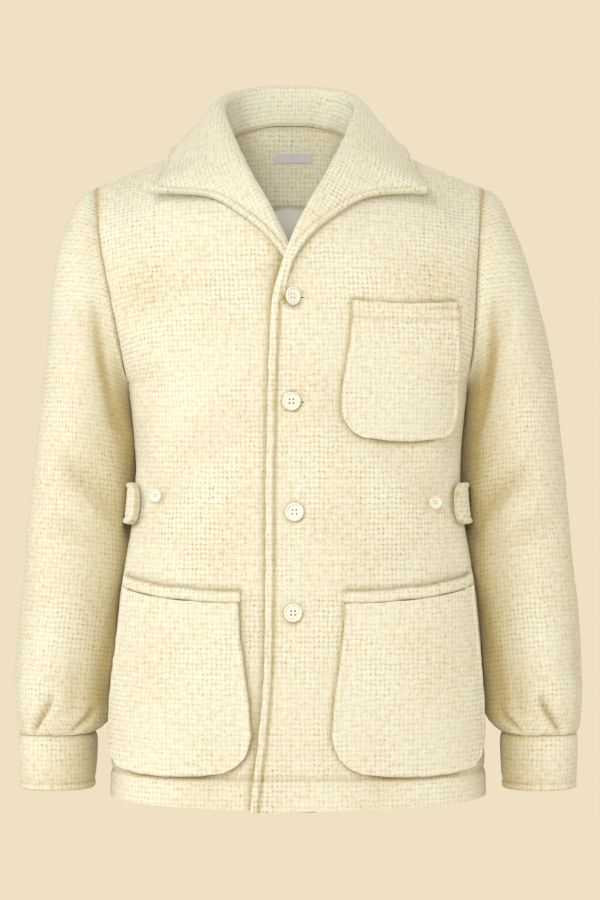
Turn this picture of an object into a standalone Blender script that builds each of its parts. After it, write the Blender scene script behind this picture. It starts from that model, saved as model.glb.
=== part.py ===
"""Boxy tweed jacket, hollow and filled out as if worn: fronts, back, sleeves, cuffs, one-piece
collar, patch pockets, side tabs and buttons. Metres, +Z up, the front towards -Y. The origin is
between the two side neck points, where the wearer's neck and shoulders hold the jacket up.

Every cloth piece is a wall: an outer skin worked out on a grid, and an inner skin one thickness
of cloth inside it. Sizes are in millimetres until a mesh is made. Each piece is worked out on
the +X side, and the -X side is its mirror image."""

import math

import bmesh
import bpy
import numpy as np
from mathutils import Matrix, Vector

MM = 0.001

# Thicknesses of cloth, and the gap left where two pieces meet.
CLOTH = 3.0
COLLAR_CLOTH = 4.4
LAPEL_END_CLOTH = 3.0
FACING_CLOTH = 1.5
LINING_CLOTH = 1.0
LABEL_CLOTH = 0.6
TAB_CLOTH = 5.0
GAP = 0.3
NECK_GAP = 0.5
LINING_GAP = 1.0

# Where the body of the jacket turns: shoulder tip, bottom of the armhole, hem.
SHOULDER_TIP = (204.0, 0.0, -52.0)
ARMPIT = (178.5, -6.0, -258.0)
ARMHOLE_FRONT = 50.0
ARMHOLE_BACK = 58.0
HEM_Z = -695.0
HEM_TURN = 34.0
SECTION_POWER = 2.4
STRAIGHT_TO = 0.35

# The jacket hangs a little askew: its top leans to -X, and its lower part turns and leans to +X.
LEAN_TOP = -4.7
LEAN_LOW = 5.3
TURN_LOW = 0.043
LEAN_FROM_Z = -90.0
LEAN_RUN = 150.0

# The collar from the centre back (station 0) to the end of the lapel (station 11): the crest of
# its roll, its outer edge, the roll's radius, the height of the stand, how far the stand flares
# from the fall's line, and how far the seam at its foot is mitred towards the shoulder.
COLLAR_STATIONS = [
    # station, roll x, y, z, edge x, y, z, radius, stand, flare, mitre
    (0, 0, 80, 66, 0, 99, -23, 7.0, 36, 0.30, 0.20),
    (1, 31, 77, 65, 53, 95, -24, 7.0, 36, 0.32, 0.22),
    (2, 53, 62, 59, 88, 73, -26, 7.0, 35, 0.45, 0.30),
    (3, 66, 36, 50, 104, 38, -22, 7.0, 34, 0.70, 0.50),
    (4, 69, 6, 36, 119, 1, -16, 7.0, 32, 0.90, 0.55),
    (5, 63, -26, 15, 132, -42, -35, 6.6, 22, 0.70, 0.40),
    (6, 51, -56, -15, 143, -88, -62, 6.2, 9, 0.25, 0.10),
    (7, 37, -82, -45, 83, -98, -68, 5.8, 6, 0.0, 0.0),
    (8, 20, -101, -74, 46, -112, -90, 5.2, 5, 0.0, 0.0),
    (9, 5, -113, -105, 22, -119, -111, 4.8, 4, 0.0, 0.0),
    (10, -6, -118.5, -131, 5, -122, -133, 4.3, 2, 0.0, 0.0),
    (11, -19.5, -120.8, -172, -9.5, -122, -173, 3.8, 0.5, 0.0, 0.0),
]
TIP_STATION = 6
SHOULDER_STATION = 4
OVER_END = 11
UNDER_END = 10
UNDER_TUCK = 12.0
FALL_BULGE = 1.0
COLLAR_CLEAR = 2.4

# The front edge below the lapel: how far it laps past the centre line, and the centre's depth.
FRONT_EDGE = [
    # z, over edge x, under edge x, centre y
    (-131, -6, -5, -117),
    (-150, -13, -13, -118.5),
    (-176, -20.3, -20, -120),
    (-195, -22.3, -22, -121),
    (-247, -25.8, -22, -123),
    (-300, -27.2, -22, -121.5),
    (-348, -28.3, -22, -119),
    (-420, -28.6, -22, -120),
    (-480, -28.8, -22, -122),
    (-561, -30.8, -22, -124.5),
    (-622, -35.9, -22, -126),
    (-672, -41.9, -22, -127),
    (-695, -44.4, -22, -127.5),
]
UNDER_SETBACK = 5.0
EDGE_BEAD_WIDTH = 7.0
EDGE_BEAD_TOP = 4.4
EDGE_BEAD_LOW = 2.3
HEM_RAISE = 0.8
HEM_SIDE_LIFT = 7.0

SIDE_SEAM = [
    # z, half-width
    (-258, 178.5),
    (-291, 174.6),
    (-331, 171.2),
    (-360, 170.5),
    (-385, 172.0),
    (-411, 175.4),
    (-442, 180.9),
    (-486, 187.5),
    (-540, 192.5),
    (-592, 195.2),
    (-648, 195.6),
    (-695, 196.4),
]

BACK_CENTRE = [
    # z, depth behind the origin
    (20, 76),
    (0, 84),
    (-25, 95),
    (-60, 106),
    (-100, 113.5),
    (-150, 117),
    (-200, 116),
    (-258, 111),
    (-310, 104),
    (-360, 101),
    (-410, 102.5),
    (-470, 107.5),
    (-550, 113.5),
    (-630, 116.5),
    (-695, 117.5),
]

# Sleeve rings from the armhole to the cuff: outer point, inner point, middle, front and back depth.
SLEEVE = [
    # outer x, z, inner x, z, top y, bottom y, front depth, back depth
    (204.0, -52, 178.5, -258, 0, -6, 50, 58),
    (219.0, -62, 177.5, -261, 0, -4, 56, 63),
    (232.0, -85, 175.5, -267, 1, -1, 61, 67),
    (244.5, -117, 174.0, -277, 3, 3, 64.5, 69),
    (252.5, -150, 172.0, -290, 6, 7, 66, 69.5),
    (259.0, -184, 169.0, -307, 10, 13, 66, 69),
    (266.0, -225, 166.0, -328, 15, 18, 65.5, 67.5),
    (273.0, -272, 163.0, -356, 19, 22, 64.5, 66),
    (278.5, -325, 161.0, -390, 21, 25, 63, 64.5),
    (284.0, -375, 162.0, -425, 21, 25, 61.5, 63),
    (289.0, -430, 166.0, -465, 19, 21, 60, 61.5),
    (293.0, -485, 174.0, -508, 14, 15, 59, 60),
    (297.0, -540, 184.0, -552, 6, 6, 58, 59),
    (298.6, -585, 192.5, -590, 1, 1, 56.5, 58),
    (297.0, -608, 202.0, -609, -2, -2, 52.5, 54),
    (292.5, -624.5, 214.5, -624.5, -4, -4, 45.5, 46.5),
]
SLEEVE_CLEAR = 1.6
ADDED_CLEAR = 1.5
ADDED_REACH = 24.0
CUFF = [
    # z, outer x, inner x, front depth, back depth, extra thickness outside
    (-625.0, 292.5, 214.5, 45.5, 46.5, 0.0),
    (-629.0, 292.5, 214.5, 45.5, 46.5, 2.2),
    (-654.0, 292.0, 215.0, 45.5, 46.5, 1.8),
    (-675.0, 291.2, 215.7, 45.0, 46.0, 0.6),
    (-678.5, 291.2, 215.7, 45.0, 46.0, 1.6),
    (-682.0, 291.2, 215.7, 45.0, 46.0, 0.2),
]
CUFF_Y = -4.0

# Soft folds pressed into the walls: where each runs on its piece, its half-width and its depth.
SLEEVE_FOLDS = [
    # ring from, angle from, ring to, angle to, half-width mm, depth mm
    (12.9, 1.35, 14.9, 0.95, 7.0, 7.0),
    (13.4, 2.30, 14.9, 2.05, 6.0, 4.5),
    (13.2, 4.90, 14.9, 4.70, 7.0, 5.5),
    (13.5, 5.80, 14.9, 5.60, 6.0, 4.0),
    (2.4, 1.60, 6.2, 2.15, 12.0, 5.0),
    (2.8, 4.60, 6.6, 4.10, 13.0, 5.0),
    (8.0, 1.20, 8.8, 2.20, 11.0, 2.6),
    (9.6, 4.20, 8.6, 5.20, 11.0, 2.4),
]

# Patch pockets on the front: inner and outer side by cloth distance from the centre line.
POCKETS = [
    # name, side, top z, bottom z, inner q top, low, outer q top, low, corner, gape, sag, mouth rise
    ("lower_pocket_left", 1, -483.5, -657.0, 51.8, 38.5, 206.0, 221.0, 42.0, 3.5, 4.0, 15.0),
    ("lower_pocket_right", -1, -483.5, -657.0, 55.2, 42.0, 197.0, 221.0, 42.0, 2.0, 4.0, 13.0),
    ("chest_pocket", 1, -176.0, -316.5, 61.0, 47.5, 172.0, 183.0, 34.0, 1.0, 3.0, 0.0),
]
POCKET_STAND = 1.4
POCKET_RISE = 2.0
MOUTH_BAND = 12.5
SLANT_RUN = 1.25

TAB_Z = -384.0
TAB_LENGTH = 53.0
TAB_HALF_HEIGHT = 22.0
TAB_END = 17.0
TAB_LIFT = [
    # distance from the seam, lift off the cloth
    (0, 1.2),
    (10, 2.4),
    (26, 3.6),
    (40, 4.0),
    (53, 3.4),
]

BUTTON = dict(diameter=19.0, thickness=3.4, rim=1.6, holes=1.7, hole_spread=2.4)
TAB_BUTTON = dict(diameter=13.8, thickness=2.8, rim=1.3, holes=1.3, hole_spread=1.7)
FRONT_BUTTONS = [
    # x, z, turn about the upright in degrees, stand-off
    (-1.5, -172.3, 28.0, 5.6),
    (-2.0, -278.5, 4.0, 1.6),
    (1.0, -390.7, -3.0, 1.6),
    (-0.5, -492.8, 5.0, 1.6),
]
TAB_BUTTON_STAND = 2.2
TAB_BUTTONS = [
    # name, side, x, z
    ("tab_button_left", 1, 141.5, -382.0),
    ("tab_button_right", -1, 141.5, -375.0),
]


# ---------------------------------------------------------------- numbers and curves


def smooth(knots, values, at):
    """Cubic Hermite curve through the values, each slope taken from the knots on both sides."""
    knots = np.asarray(knots, float)
    values = np.asarray(values, float)
    at = np.clip(np.asarray(at, float), knots[0], knots[-1])
    slopes = np.gradient(values, knots, axis=0)
    i = np.clip(np.searchsorted(knots, at, side="right") - 1, 0, len(knots) - 2)
    run = knots[i + 1] - knots[i]
    f = (at - knots[i]) / run
    if values.ndim > 1:
        f, run = f[..., None], run[..., None]
    start = (2 * f**3 - 3 * f**2 + 1) * values[i] + (f**3 - 2 * f**2 + f) * run * slopes[i]
    end = (3 * f**2 - 2 * f**3) * values[i + 1] + (f**3 - f**2) * run * slopes[i + 1]
    return start + end


def column(table, key, value):
    """Smooth curve through one column of a table whose rows run downwards in z."""
    rows = np.array(table, float)[::-1]
    return lambda at: smooth(rows[:, key], rows[:, value], at)


def step(x):
    """Smooth step from 0 to 1 as x goes from 0 to 1."""
    x = np.clip(x, 0.0, 1.0)
    return x * x * (3 - 2 * x)


def unit(v):
    return v / np.maximum(np.linalg.norm(v, axis=-1, keepdims=True), 1e-9)


def dot(a, b):
    return (a * b).sum(axis=-1, keepdims=True)


ANY_REACH = 1e6
REACH_FADE = 0.45


def lengths(points):
    """Distance along each row of points, from its first point."""
    steps = np.linalg.norm(np.diff(points, axis=-2), axis=-1)
    return np.concatenate([np.zeros_like(steps[..., :1]), np.cumsum(steps, axis=-1)], axis=-1)


def normals(grid, wrap=False):
    """Unit normals of a grid of rows and columns: the column step crossed with the row step."""
    if wrap:
        along = np.roll(grid, -1, axis=1) - np.roll(grid, 1, axis=1)
    else:
        along = np.gradient(grid, axis=1)
    return unit(np.cross(along, np.gradient(grid, axis=0)))


def stand_off(points, skin, skin_normals, clear, weight=1.0, reach=ANY_REACH):
    """Points moved out along the nearest skin normal until each is clear of that skin, for the
    points that have some of the skin within reach."""
    skin = skin.reshape(-1, 3)
    skin_normals = skin_normals.reshape(-1, 3)
    flat = points.reshape(-1, 3)
    apart = ((flat[:, None, :] - skin[None, :, :]) ** 2).sum(axis=-1)
    near = apart.argmin(axis=1)
    height = ((flat - skin[near]) * skin_normals[near]).sum(axis=-1)
    fade = step((reach - np.sqrt(apart.min(axis=1))) / (REACH_FADE * reach))
    push = np.maximum(clear - height.reshape(points.shape[:-1]), 0.0) * weight
    push = push * fade.reshape(push.shape)
    return points + push[..., None] * skin_normals[near].reshape(points.shape)


def hang(points):
    """Shifts points sideways by the lean and the turn that the hanging jacket has."""
    low = step((LEAN_FROM_Z - points[..., 2]) / LEAN_RUN)
    shift = LEAN_TOP + (LEAN_LOW - LEAN_TOP) * low + TURN_LOW * low * points[..., 1]
    return points + np.stack([shift, 0 * shift, 0 * shift], axis=-1)


def bead(distance, width, height):
    """A rounded bead along an edge, with a shallow stitched ditch just inside it."""
    crown = height * np.exp(-((distance / width) ** 4))
    ditch = 0.4 * height * np.exp(-(((distance - 1.35 * width) / (0.25 * width)) ** 2))
    return crown - ditch


# ---------------------------------------------------------------- meshes


def material(name, colour, roughness, metallic=0.0):
    made = bpy.data.materials.new(name)
    made.use_nodes = True
    shader = made.node_tree.nodes["Principled BSDF"]
    shader.inputs["Base Color"].default_value = (*colour, 1.0)
    shader.inputs["Roughness"].default_value = roughness
    shader.inputs["Metallic"].default_value = metallic
    return made


def add_object(name, mesh, finish, smooth_angle=40.0):
    piece = bpy.data.objects.new(name, mesh)
    kind, *look = finish
    mesh.materials.append(material(f"{name}_{kind}", *look))
    mesh.shade_smooth()
    mesh.set_sharp_from_angle(angle=math.radians(smooth_angle))
    jacket.objects.link(piece)
    return piece


def wall(name, outer, inner, finish, side=1, wrap=False):
    """A closed wall between two skins given on the same grid, with its rims filled in."""
    rows, columns = outer.shape[:2]
    if side < 0:
        outer = outer * [-1, 1, 1]
        inner = inner * [-1, 1, 1]
    points = hang(np.concatenate([outer.reshape(-1, 3), inner.reshape(-1, 3)])) * MM
    index = np.arange(rows * columns).reshape(rows, columns)
    if wrap:
        index = np.concatenate([index, index[:, :1]], axis=1)
    below = index + rows * columns

    def strips(a, b):
        """Triangles between matching runs of points, every square split along the same diagonal."""
        first = np.stack([a[..., :-1], a[..., 1:], b[..., 1:]], axis=-1).reshape(-1, 3)
        second = np.stack([a[..., :-1], b[..., 1:], b[..., :-1]], axis=-1).reshape(-1, 3)
        return np.concatenate([first, second])

    faces = [strips(index[:-1], index[1:]), strips(below[:-1], below[1:])[:, ::-1]]
    faces += [strips(below[0], index[0]), strips(index[-1], below[-1])]
    if not wrap:
        faces += [strips(index[:, 0], below[:, 0]), strips(below[:, -1], index[:, -1])]
    mesh = bpy.data.meshes.new(name)
    mesh.from_pydata(points.tolist(), [], np.concatenate(faces).tolist())
    work = bmesh.new()
    work.from_mesh(mesh)
    bmesh.ops.recalc_face_normals(work, faces=work.faces)
    work.to_mesh(mesh)
    work.free()
    return add_object(name, mesh, finish)


# ---------------------------------------------------------------- the collar's lines


def collar_lines(stations, tuck=0.0):
    """The collar's roll, edge and frame at each station, and the seam at the foot of its stand.
    The fall direction runs from the roll to the edge, square to the roll, and out is square to
    both, away from the neck. The stand drops from the inner side of the roll."""
    table = np.array(COLLAR_STATIONS, float)
    at = np.asarray(stations, float)
    upper, lower = table[: TIP_STATION + 1], table[TIP_STATION:]
    edge = np.where(
        (at <= TIP_STATION)[:, None],
        smooth(upper[:, 0], upper[:, 4:7], at),
        smooth(lower[:, 0], lower[:, 4:7], at),
    )
    roll = smooth(table[:, 0], table[:, 1:4], at)
    radius, stand, flare, mitre = smooth(table[:, 0], table[:, 7:11], at).T[:, :, None]
    behind = tuck * step((at - 6.5) / 3.0)[:, None] * [0, 1, 0]
    roll, edge = roll + behind, edge + behind
    along = unit(
        smooth(table[:, 0], table[:, 1:4], at + 0.05) - smooth(table[:, 0], table[:, 1:4], at - 0.05)
    )
    along[at == 0] = (1, 0, 0)
    fall = unit((edge - roll) - dot(edge - roll, along) * along)
    out = np.cross(-fall, along)
    down = unit(fall - flare * out)
    side = unit(out + flare * fall)
    foot = roll + radius * (fall - out) + stand * down
    return dict(
        roll=roll, edge=edge, radius=radius, fall=fall, out=out, foot=foot,
        seam=side - mitre * down, below=unit(down + mitre * side),
    )


def neck_edge(stations, tuck=0.0):
    """The panels' edge along the neck seam, just below the foot of the stand, and the mitred
    direction that the thickness of the walls on both sides takes there."""
    lines = collar_lines(stations, tuck)
    lapel = step((np.asarray(stations, float) - 5.0) / 1.0)[:, None]
    depth = (CLOTH + GAP + FACING_CLOTH) * (1 - lapel) + LAPEL_END_CLOTH * lapel
    return lines["foot"] + depth * lines["seam"] + NECK_GAP * lines["below"], lines["seam"]


# ---------------------------------------------------------------- the body


def armhole(angle, depth):
    """The armhole, a flat oval from the shoulder tip (0) to its bottom (pi), on one side."""
    top, bottom = np.array(SHOULDER_TIP), np.array(ARMPIT)
    middle, half = (top + bottom) / 2, (top - bottom) / 2
    angle = np.asarray(angle, float)[..., None]
    return middle + half * np.cos(angle) + np.array([0, 1, 0]) * depth * np.sin(angle)


def armhole_by_share(share, depth):
    """Points at given shares of the armhole's length, from the shoulder tip down."""
    angle = np.linspace(0, math.pi, 400)
    run = lengths(armhole(angle, depth))
    return armhole(np.interp(share, run / run[-1], angle), depth)


def section(start, end, shares, edge_steps=(), power=SECTION_POWER):
    """One row of cloth from start to end: in plan a quarter superellipse, straight past the
    centre line, and in height an even slope. Points at given distances, then at even shares."""
    centre = max(start[0], 0.0)
    angle = np.linspace(0, math.pi / 2, 300)
    x = centre + (end[0] - centre) * np.sin(angle) ** (2 / power)
    y = end[1] + (start[1] - end[1]) * np.cos(angle) ** (2 / power)
    if start[0] < centre:
        x = np.concatenate([np.linspace(start[0], centre, 12)[:-1], x])
        y = np.concatenate([np.full(11, start[1]), y])
    run = lengths(np.stack([x, y], axis=-1))
    first = edge_steps[-1] if len(edge_steps) else 0.0
    wanted = np.concatenate([edge_steps[:-1], first + (run[-1] - first) * shares])
    z = start[2] + (end[2] - start[2]) * wanted / run[-1]
    return np.stack([np.interp(wanted, run, x), np.interp(wanted, run, y), z], axis=-1)


side_width = column(SIDE_SEAM, 0, 1)
back_depth = column(BACK_CENTRE, 0, 1)


def side_seam(z):
    """The side seam, which the hem's rounded corner lifts at its foot."""
    z = np.asarray(z, float)
    lifted = z + HEM_SIDE_LIFT * np.clip((HEM_Z + 55 - z) / 55, 0, 1) ** 2
    return np.stack([side_width(z), np.full_like(z, ARMPIT[1]), lifted], axis=-1)


def front_grid(over, stations, upper_z, lower_z, shares, edge_steps=()):
    """The outer skin of a front: rows from the neck seam and front edge to armhole and side."""
    edge_x = column(FRONT_EDGE, 0, 1 if over else 2)
    edge_y = column(FRONT_EDGE, 0, 3)
    tuck = 0.0 if over else UNDER_TUCK
    neck, _ = neck_edge(stations, tuck)

    def edge(z):
        z = np.asarray(z, float)
        back = 0.0 if over else UNDER_SETBACK + (UNDER_TUCK - UNDER_SETBACK) * step((z + 176) / 40)
        return np.stack([edge_x(z), edge_y(z) + back, z], axis=-1)

    inner = np.concatenate([neck, edge(upper_z)])
    run = lengths(inner)
    outer = armhole_by_share(run / run[-1], -ARMHOLE_FRONT)
    inner = np.concatenate([inner, edge(lower_z)])
    outer = np.concatenate([outer, side_seam(lower_z)])
    outer[:, 0] -= GAP / 2 * (np.arange(len(outer)) < len(run))
    outer[:, 1] -= GAP / 2
    inner[0, 1] -= GAP / 2
    below = np.append(run / run[-1], np.ones(len(lower_z)))
    powers = 1 + (SECTION_POWER - 1) * step(below / STRAIGHT_TO)
    rows = zip(inner, outer, powers)
    return np.stack([section(a, b, shares, edge_steps, power) for a, b, power in rows])


BACK_TOP_Z = 19.0
YOKE_DEPTH = 150.0
NECK_PART = 0.36


def back_grid(neck_stations, shoulder_shares, upper_shares, lower_z):
    """Half of the outer skin of the back, from the centre outwards. Even rows run from the centre
    back to the armhole and the side, and their top is drawn up to the neck seam and shoulder."""
    upper_z = BACK_TOP_Z + (ARMPIT[2] - BACK_TOP_Z) * np.asarray(upper_shares)
    z = np.concatenate([upper_z, lower_z])
    inner = np.stack([0 * z, back_depth(z), z], axis=-1)
    outer = np.concatenate([armhole_by_share(upper_shares, ARMHOLE_BACK), side_seam(lower_z)])
    outer[: len(upper_z), 0] -= GAP / 2
    outer[:, 1] += GAP / 2
    shares = np.concatenate(
        [
            NECK_PART * np.asarray(neck_stations) / SHOULDER_STATION,
            NECK_PART + (1 - NECK_PART) * np.asarray(shoulder_shares),
        ]
    )
    grid = np.stack([section(a, b, shares) for a, b in zip(inner, outer)])
    neck, _ = neck_edge(neck_stations)
    neck[-1, 1] += GAP / 2
    shoulder = neck[-1] + (outer[0] - neck[-1]) * np.asarray(shoulder_shares)[:, None]
    top = np.concatenate([neck, shoulder])
    fade = np.clip(1 - (BACK_TOP_Z - upper_z) / YOKE_DEPTH, 0, 1) ** 2
    grid[: len(upper_z)] += fade[:, None, None] * (top - grid[0])[None]
    return grid


def shoulder_normal():
    corner, _ = neck_edge([SHOULDER_STATION])
    along = np.array(SHOULDER_TIP) - corner[0]
    return unit(np.array([-along[2], 0.0, along[0]]))


def seam_normals(facing, armpit_row):
    """The walls' directions where the front and the back meet, the same on both: square to the
    shoulder seam, and level across the side seam."""
    facing[armpit_row:, -1, 1] = 0
    facing[0, :] = shoulder_normal()
    return unit(facing)


def hem_relief(z):
    """The turned hem stands a little proud below its stitch line, with a ditch along the line."""
    above = z - HEM_Z - HEM_TURN
    ditch = 0.9 * np.exp(-((above / 2.5) ** 2))
    return HEM_RAISE * step(-above / 4.0) - ditch


FRONT_STATIONS = np.array([4, 4.5, 5, 5.5, 6, 6.5, 7, 8, 9, 10, 11])
LOWER_Z = np.array([-305, -360, -415, -475, -535, -595, -655, -661, -667, -695], float)
FRONT_SHARES = np.linspace(0, 1, 10)
EDGE_STEPS = (0.0, 4.0, 7.5, 9.5, 13.0)


FINE_STATIONS = 57
FINE_UPPER = 12
FINE_LOWER = 55
FINE_COLUMNS = 81
OVER_START = -190.0
UNDER_START = -150.0
SEARCH_ROUNDS = 30


class Panel:
    """A fine grid of a front's outer skin, read by cloth distance from the centre and height."""

    def __init__(self, over):
        end, start = (OVER_END, OVER_START) if over else (UNDER_END, UNDER_START)
        stations = np.linspace(SHOULDER_STATION, end, FINE_STATIONS)
        upper = np.linspace(start, ARMPIT[2], FINE_UPPER)
        lower = np.linspace(ARMPIT[2], HEM_Z, FINE_LOWER)[1:]
        self.grid = front_grid(over, stations, upper, lower, np.linspace(0, 1, FINE_COLUMNS))
        self.normals = -normals(self.grid)
        plan = lengths(self.grid[..., :2])
        self.first = self.grid[:, 0, 0]
        self.length = plan[:, -1]
        self.drop = np.gradient(self.grid[..., 2], axis=0)

    def read(self, values, i, j):
        """Bilinear reading of values at row i and column j, both in steps of the grid."""
        i0 = np.clip(i.astype(int), 0, values.shape[0] - 2)
        j0 = np.clip(j.astype(int), 0, values.shape[1] - 2)
        fi, fj = i - i0, j - j0
        if values.ndim == 3:
            fi, fj = fi[..., None], fj[..., None]
        upper = values[i0, j0] * (1 - fj) + values[i0, j0 + 1] * fj
        lower = values[i0 + 1, j0] * (1 - fj) + values[i0 + 1, j0 + 1] * fj
        return upper * (1 - fi) + lower * fi

    def at(self, q, z):
        """Points and normals at cloth distance q from the centre line and at height z."""
        q, z = np.broadcast_arrays(np.asarray(q, float), np.asarray(z, float))
        rows = np.arange(len(self.grid))
        i = np.interp(-z, -self.grid[:, 0, 2], rows)
        for _ in range(SEARCH_ROUNDS):
            first = np.interp(i, rows, self.first)
            length = np.interp(i, rows, self.length)
            j = np.clip((q - first) / length, 0, 1) * (self.grid.shape[1] - 1)
            off = z - self.read(self.grid[..., 2], i, j)
            i = np.clip(i + 0.8 * off / self.read(self.drop, i, j), 0, len(rows) - 1.001)
        return self.read(self.grid, i, j), unit(self.read(self.normals, i, j))

    def side(self, z):
        """Cloth distance from the centre line to the side seam at height z."""
        rows = np.arange(len(self.grid))
        i = np.interp(-np.asarray(z, float), -self.grid[:, -1, 2], rows)
        return np.interp(i, rows, self.first + self.length)


def front(name, over):
    stations = FRONT_STATIONS if over else FRONT_STATIONS[FRONT_STATIONS <= UNDER_END]
    upper_z = [-176, -212, ARMPIT[2]] if over else [-165, -210, ARMPIT[2]]
    grid = front_grid(over, stations, upper_z, LOWER_Z, FRONT_SHARES, EDGE_STEPS)
    facing = seam_normals(-normals(grid), len(stations) + len(upper_z) - 1)
    _, facing[: len(stations), 0] = neck_edge(stations, 0.0 if over else UNDER_TUCK)
    inner = grid - CLOTH * facing
    raised = hem_relief(grid[..., 2])
    if over:
        fading = step((-176 - grid[..., 2]) / 70)
        height = EDGE_BEAD_TOP + (EDGE_BEAD_LOW - EDGE_BEAD_TOP) * fading
        starting = step((-174 - grid[..., 2]) / 2)
        raised = raised + bead(lengths(grid), EDGE_BEAD_WIDTH, height) * starting
    wall(name, grid + raised[..., None] * facing, inner, TWEED, 1 if over else -1)


NECK_STATIONS = np.array([0, 0.7, 1.4, 2.1, 2.8, 3.4, 4])
SHOULDER_SHARES = np.array([1, 2, 3, 4, 5, 6]) / 6
BACK_UPPER = np.array([0, 0.04, 0.12, 0.2, 0.28, 0.4, 0.54, 0.7, 0.86, 1.0])
FACING_FOOT = 4
LINING_FOOT = -3
LINING_COLUMNS = [0, 1, 3, 5, 6, 7, 8, 9, 10, 11]
LINING_DROP = 0.012
LABEL_X = (-15.7, 24.3)
LABEL_Z = (-4.5, -14.3)
LABEL_STAND = 0.7
LABEL_COLUMNS = 7


def mirrored(half):
    """A full grid from a half one whose first column lies on the centre line."""
    return np.concatenate([(half * [-1, 1, 1])[:, :0:-1], half], axis=1)


def back_skins():
    half = back_grid(NECK_STATIONS, SHOULDER_SHARES, BACK_UPPER, LOWER_Z)
    facing = seam_normals(normals(half), len(BACK_UPPER) - 1)
    _, facing[0, : len(NECK_STATIONS)] = neck_edge(NECK_STATIONS)
    facing[:, 0, 0] = 0
    return half, facing


def back():
    half, facing = back_skins()
    outer = half + hem_relief(half[..., 2])[..., None] * facing
    wall("back", mirrored(outer), mirrored(half - CLOTH * facing), TWEED)


def back_inside():
    """The facing below the neck seam and the lining below it, each moved in from the back."""
    half, facing = back_skins()
    shoulder = len(NECK_STATIONS) + 3
    outer = (half - (CLOTH + GAP) * facing)[: FACING_FOOT + 1, :shoulder]
    inner = outer - FACING_CLOTH * facing[: FACING_FOOT + 1, :shoulder]
    wall("back_neck_facing", mirrored(outer), mirrored(inner), TWEED)
    half = half[FACING_FOOT:LINING_FOOT, LINING_COLUMNS]
    facing = facing[FACING_FOOT:LINING_FOOT, LINING_COLUMNS]
    outer = half - (CLOTH + LINING_GAP) * facing
    outer[0] += LINING_DROP * (outer[1] - outer[0])
    wall("lining_back", mirrored(outer), mirrored(outer - LINING_CLOTH * facing), LINING)


def neck_label(fine, fine_facing):
    """A small bare label on the inner face of the facing. Its points are read off the back's fine
    grid by x and then by height, and moved in."""
    depth = CLOTH + GAP + FACING_CLOTH + LABEL_STAND
    outer = np.zeros((len(LABEL_Z), LABEL_COLUMNS, 3))
    for k, x in enumerate(np.linspace(*LABEL_X, LABEL_COLUMNS)):
        y, z, facing_y, facing_z = (
            np.array([np.interp(abs(x), row[:, 0], values) for row, values in zip(fine, table)])
            for table in (fine[..., 1], fine[..., 2], fine_facing[..., 1], fine_facing[..., 2])
        )
        for j, level in enumerate(LABEL_Z):
            at_y, at_facing_y, at_facing_z = (
                np.interp(-level, -z, values) for values in (y, facing_y, facing_z)
            )
            outer[j, k] = (x, at_y - depth * at_facing_y, level - depth * at_facing_z)
    wall("neck_label", outer, outer - [0, LABEL_CLOTH, 0], LABEL)


# ---------------------------------------------------------------- collar


def collar_skins(stations, over, front_skin, front_facing, back_skin, back_facing):
    """Visible skin of half the collar: up the stand, over the roll and down the fall, which
    rests just clear of the panels under it."""
    lines = collar_lines(stations, 0.0 if over else UNDER_TUCK)
    roll, fall, out, radius = (lines[k] for k in ("roll", "fall", "out", "radius"))
    centre = roll + radius * fall
    cloth = collar_cloth(stations)
    edge = lines["edge"][None]
    skin = np.concatenate([front_skin.reshape(-1, 3), back_skin.reshape(-1, 3)])
    skin_facing = np.concatenate([front_facing.reshape(-1, 3), back_facing.reshape(-1, 3)])
    edge = stand_off(edge, skin, skin_facing, cloth + COLLAR_CLEAR + 1.0)[0]
    outside = centre + radius * out
    leg = edge - outside
    bulge = FALL_BULGE * np.clip(np.linalg.norm(leg, axis=1, keepdims=True) / 60, 0, 1) * out
    diagonal = math.sqrt(0.5)
    rows = [
        lines["foot"],
        (lines["foot"] + centre - radius * out) / 2,
        centre - radius * out,
        centre - radius * diagonal * (out + fall),
        roll,
        centre + radius * diagonal * (out - fall),
        outside,
    ]
    falls = [outside + leg * s + bulge * 4 * s * (1 - s) for s in (0.3, 0.6, 0.86)]
    falls = stand_off(np.stack(falls + [edge]), skin, skin_facing, (cloth + COLLAR_CLEAR)[None])
    grid = np.concatenate([np.stack(rows), falls])
    facing = normals(grid)
    facing = facing * np.sign(dot(facing[4:5], -fall[None]))
    facing[0] = -lines["seam"]
    return grid, facing


def collar_cloth(stations):
    at = np.asarray(stations, float)
    return COLLAR_CLOTH + (LAPEL_END_CLOTH - COLLAR_CLOTH) * step((at - 7) / 4)


def collar(panels, back_fine):
    back_skin, back_facing = back_fine
    halves = []
    for over in (False, True):
        end = OVER_END if over else UNDER_END
        stations = np.concatenate([NECK_STATIONS, FRONT_STATIONS[1:]])
        stations = np.sort(np.concatenate([stations, [6.25, 6.75]]))
        stations = stations[stations <= end]
        panel = panels[over]
        grid, facing = collar_skins(
            stations, over, panel.grid[:, ::2], panel.normals[:, ::2], back_skin, back_facing
        )
        facing[:, 0, 0] = 0
        inner = grid - collar_cloth(stations)[None, :, None] * facing
        halves.append((grid, inner))
    (under, under_in), (over_, over_in) = halves
    flip = np.array([-1, 1, 1])
    outer = np.concatenate([(under * flip)[:, :0:-1], over_], axis=1)
    inner = np.concatenate([(under_in * flip)[:, :0:-1], over_in], axis=1)
    wall("collar", outer, inner, TWEED)


# ---------------------------------------------------------------- sleeves and cuffs


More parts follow.
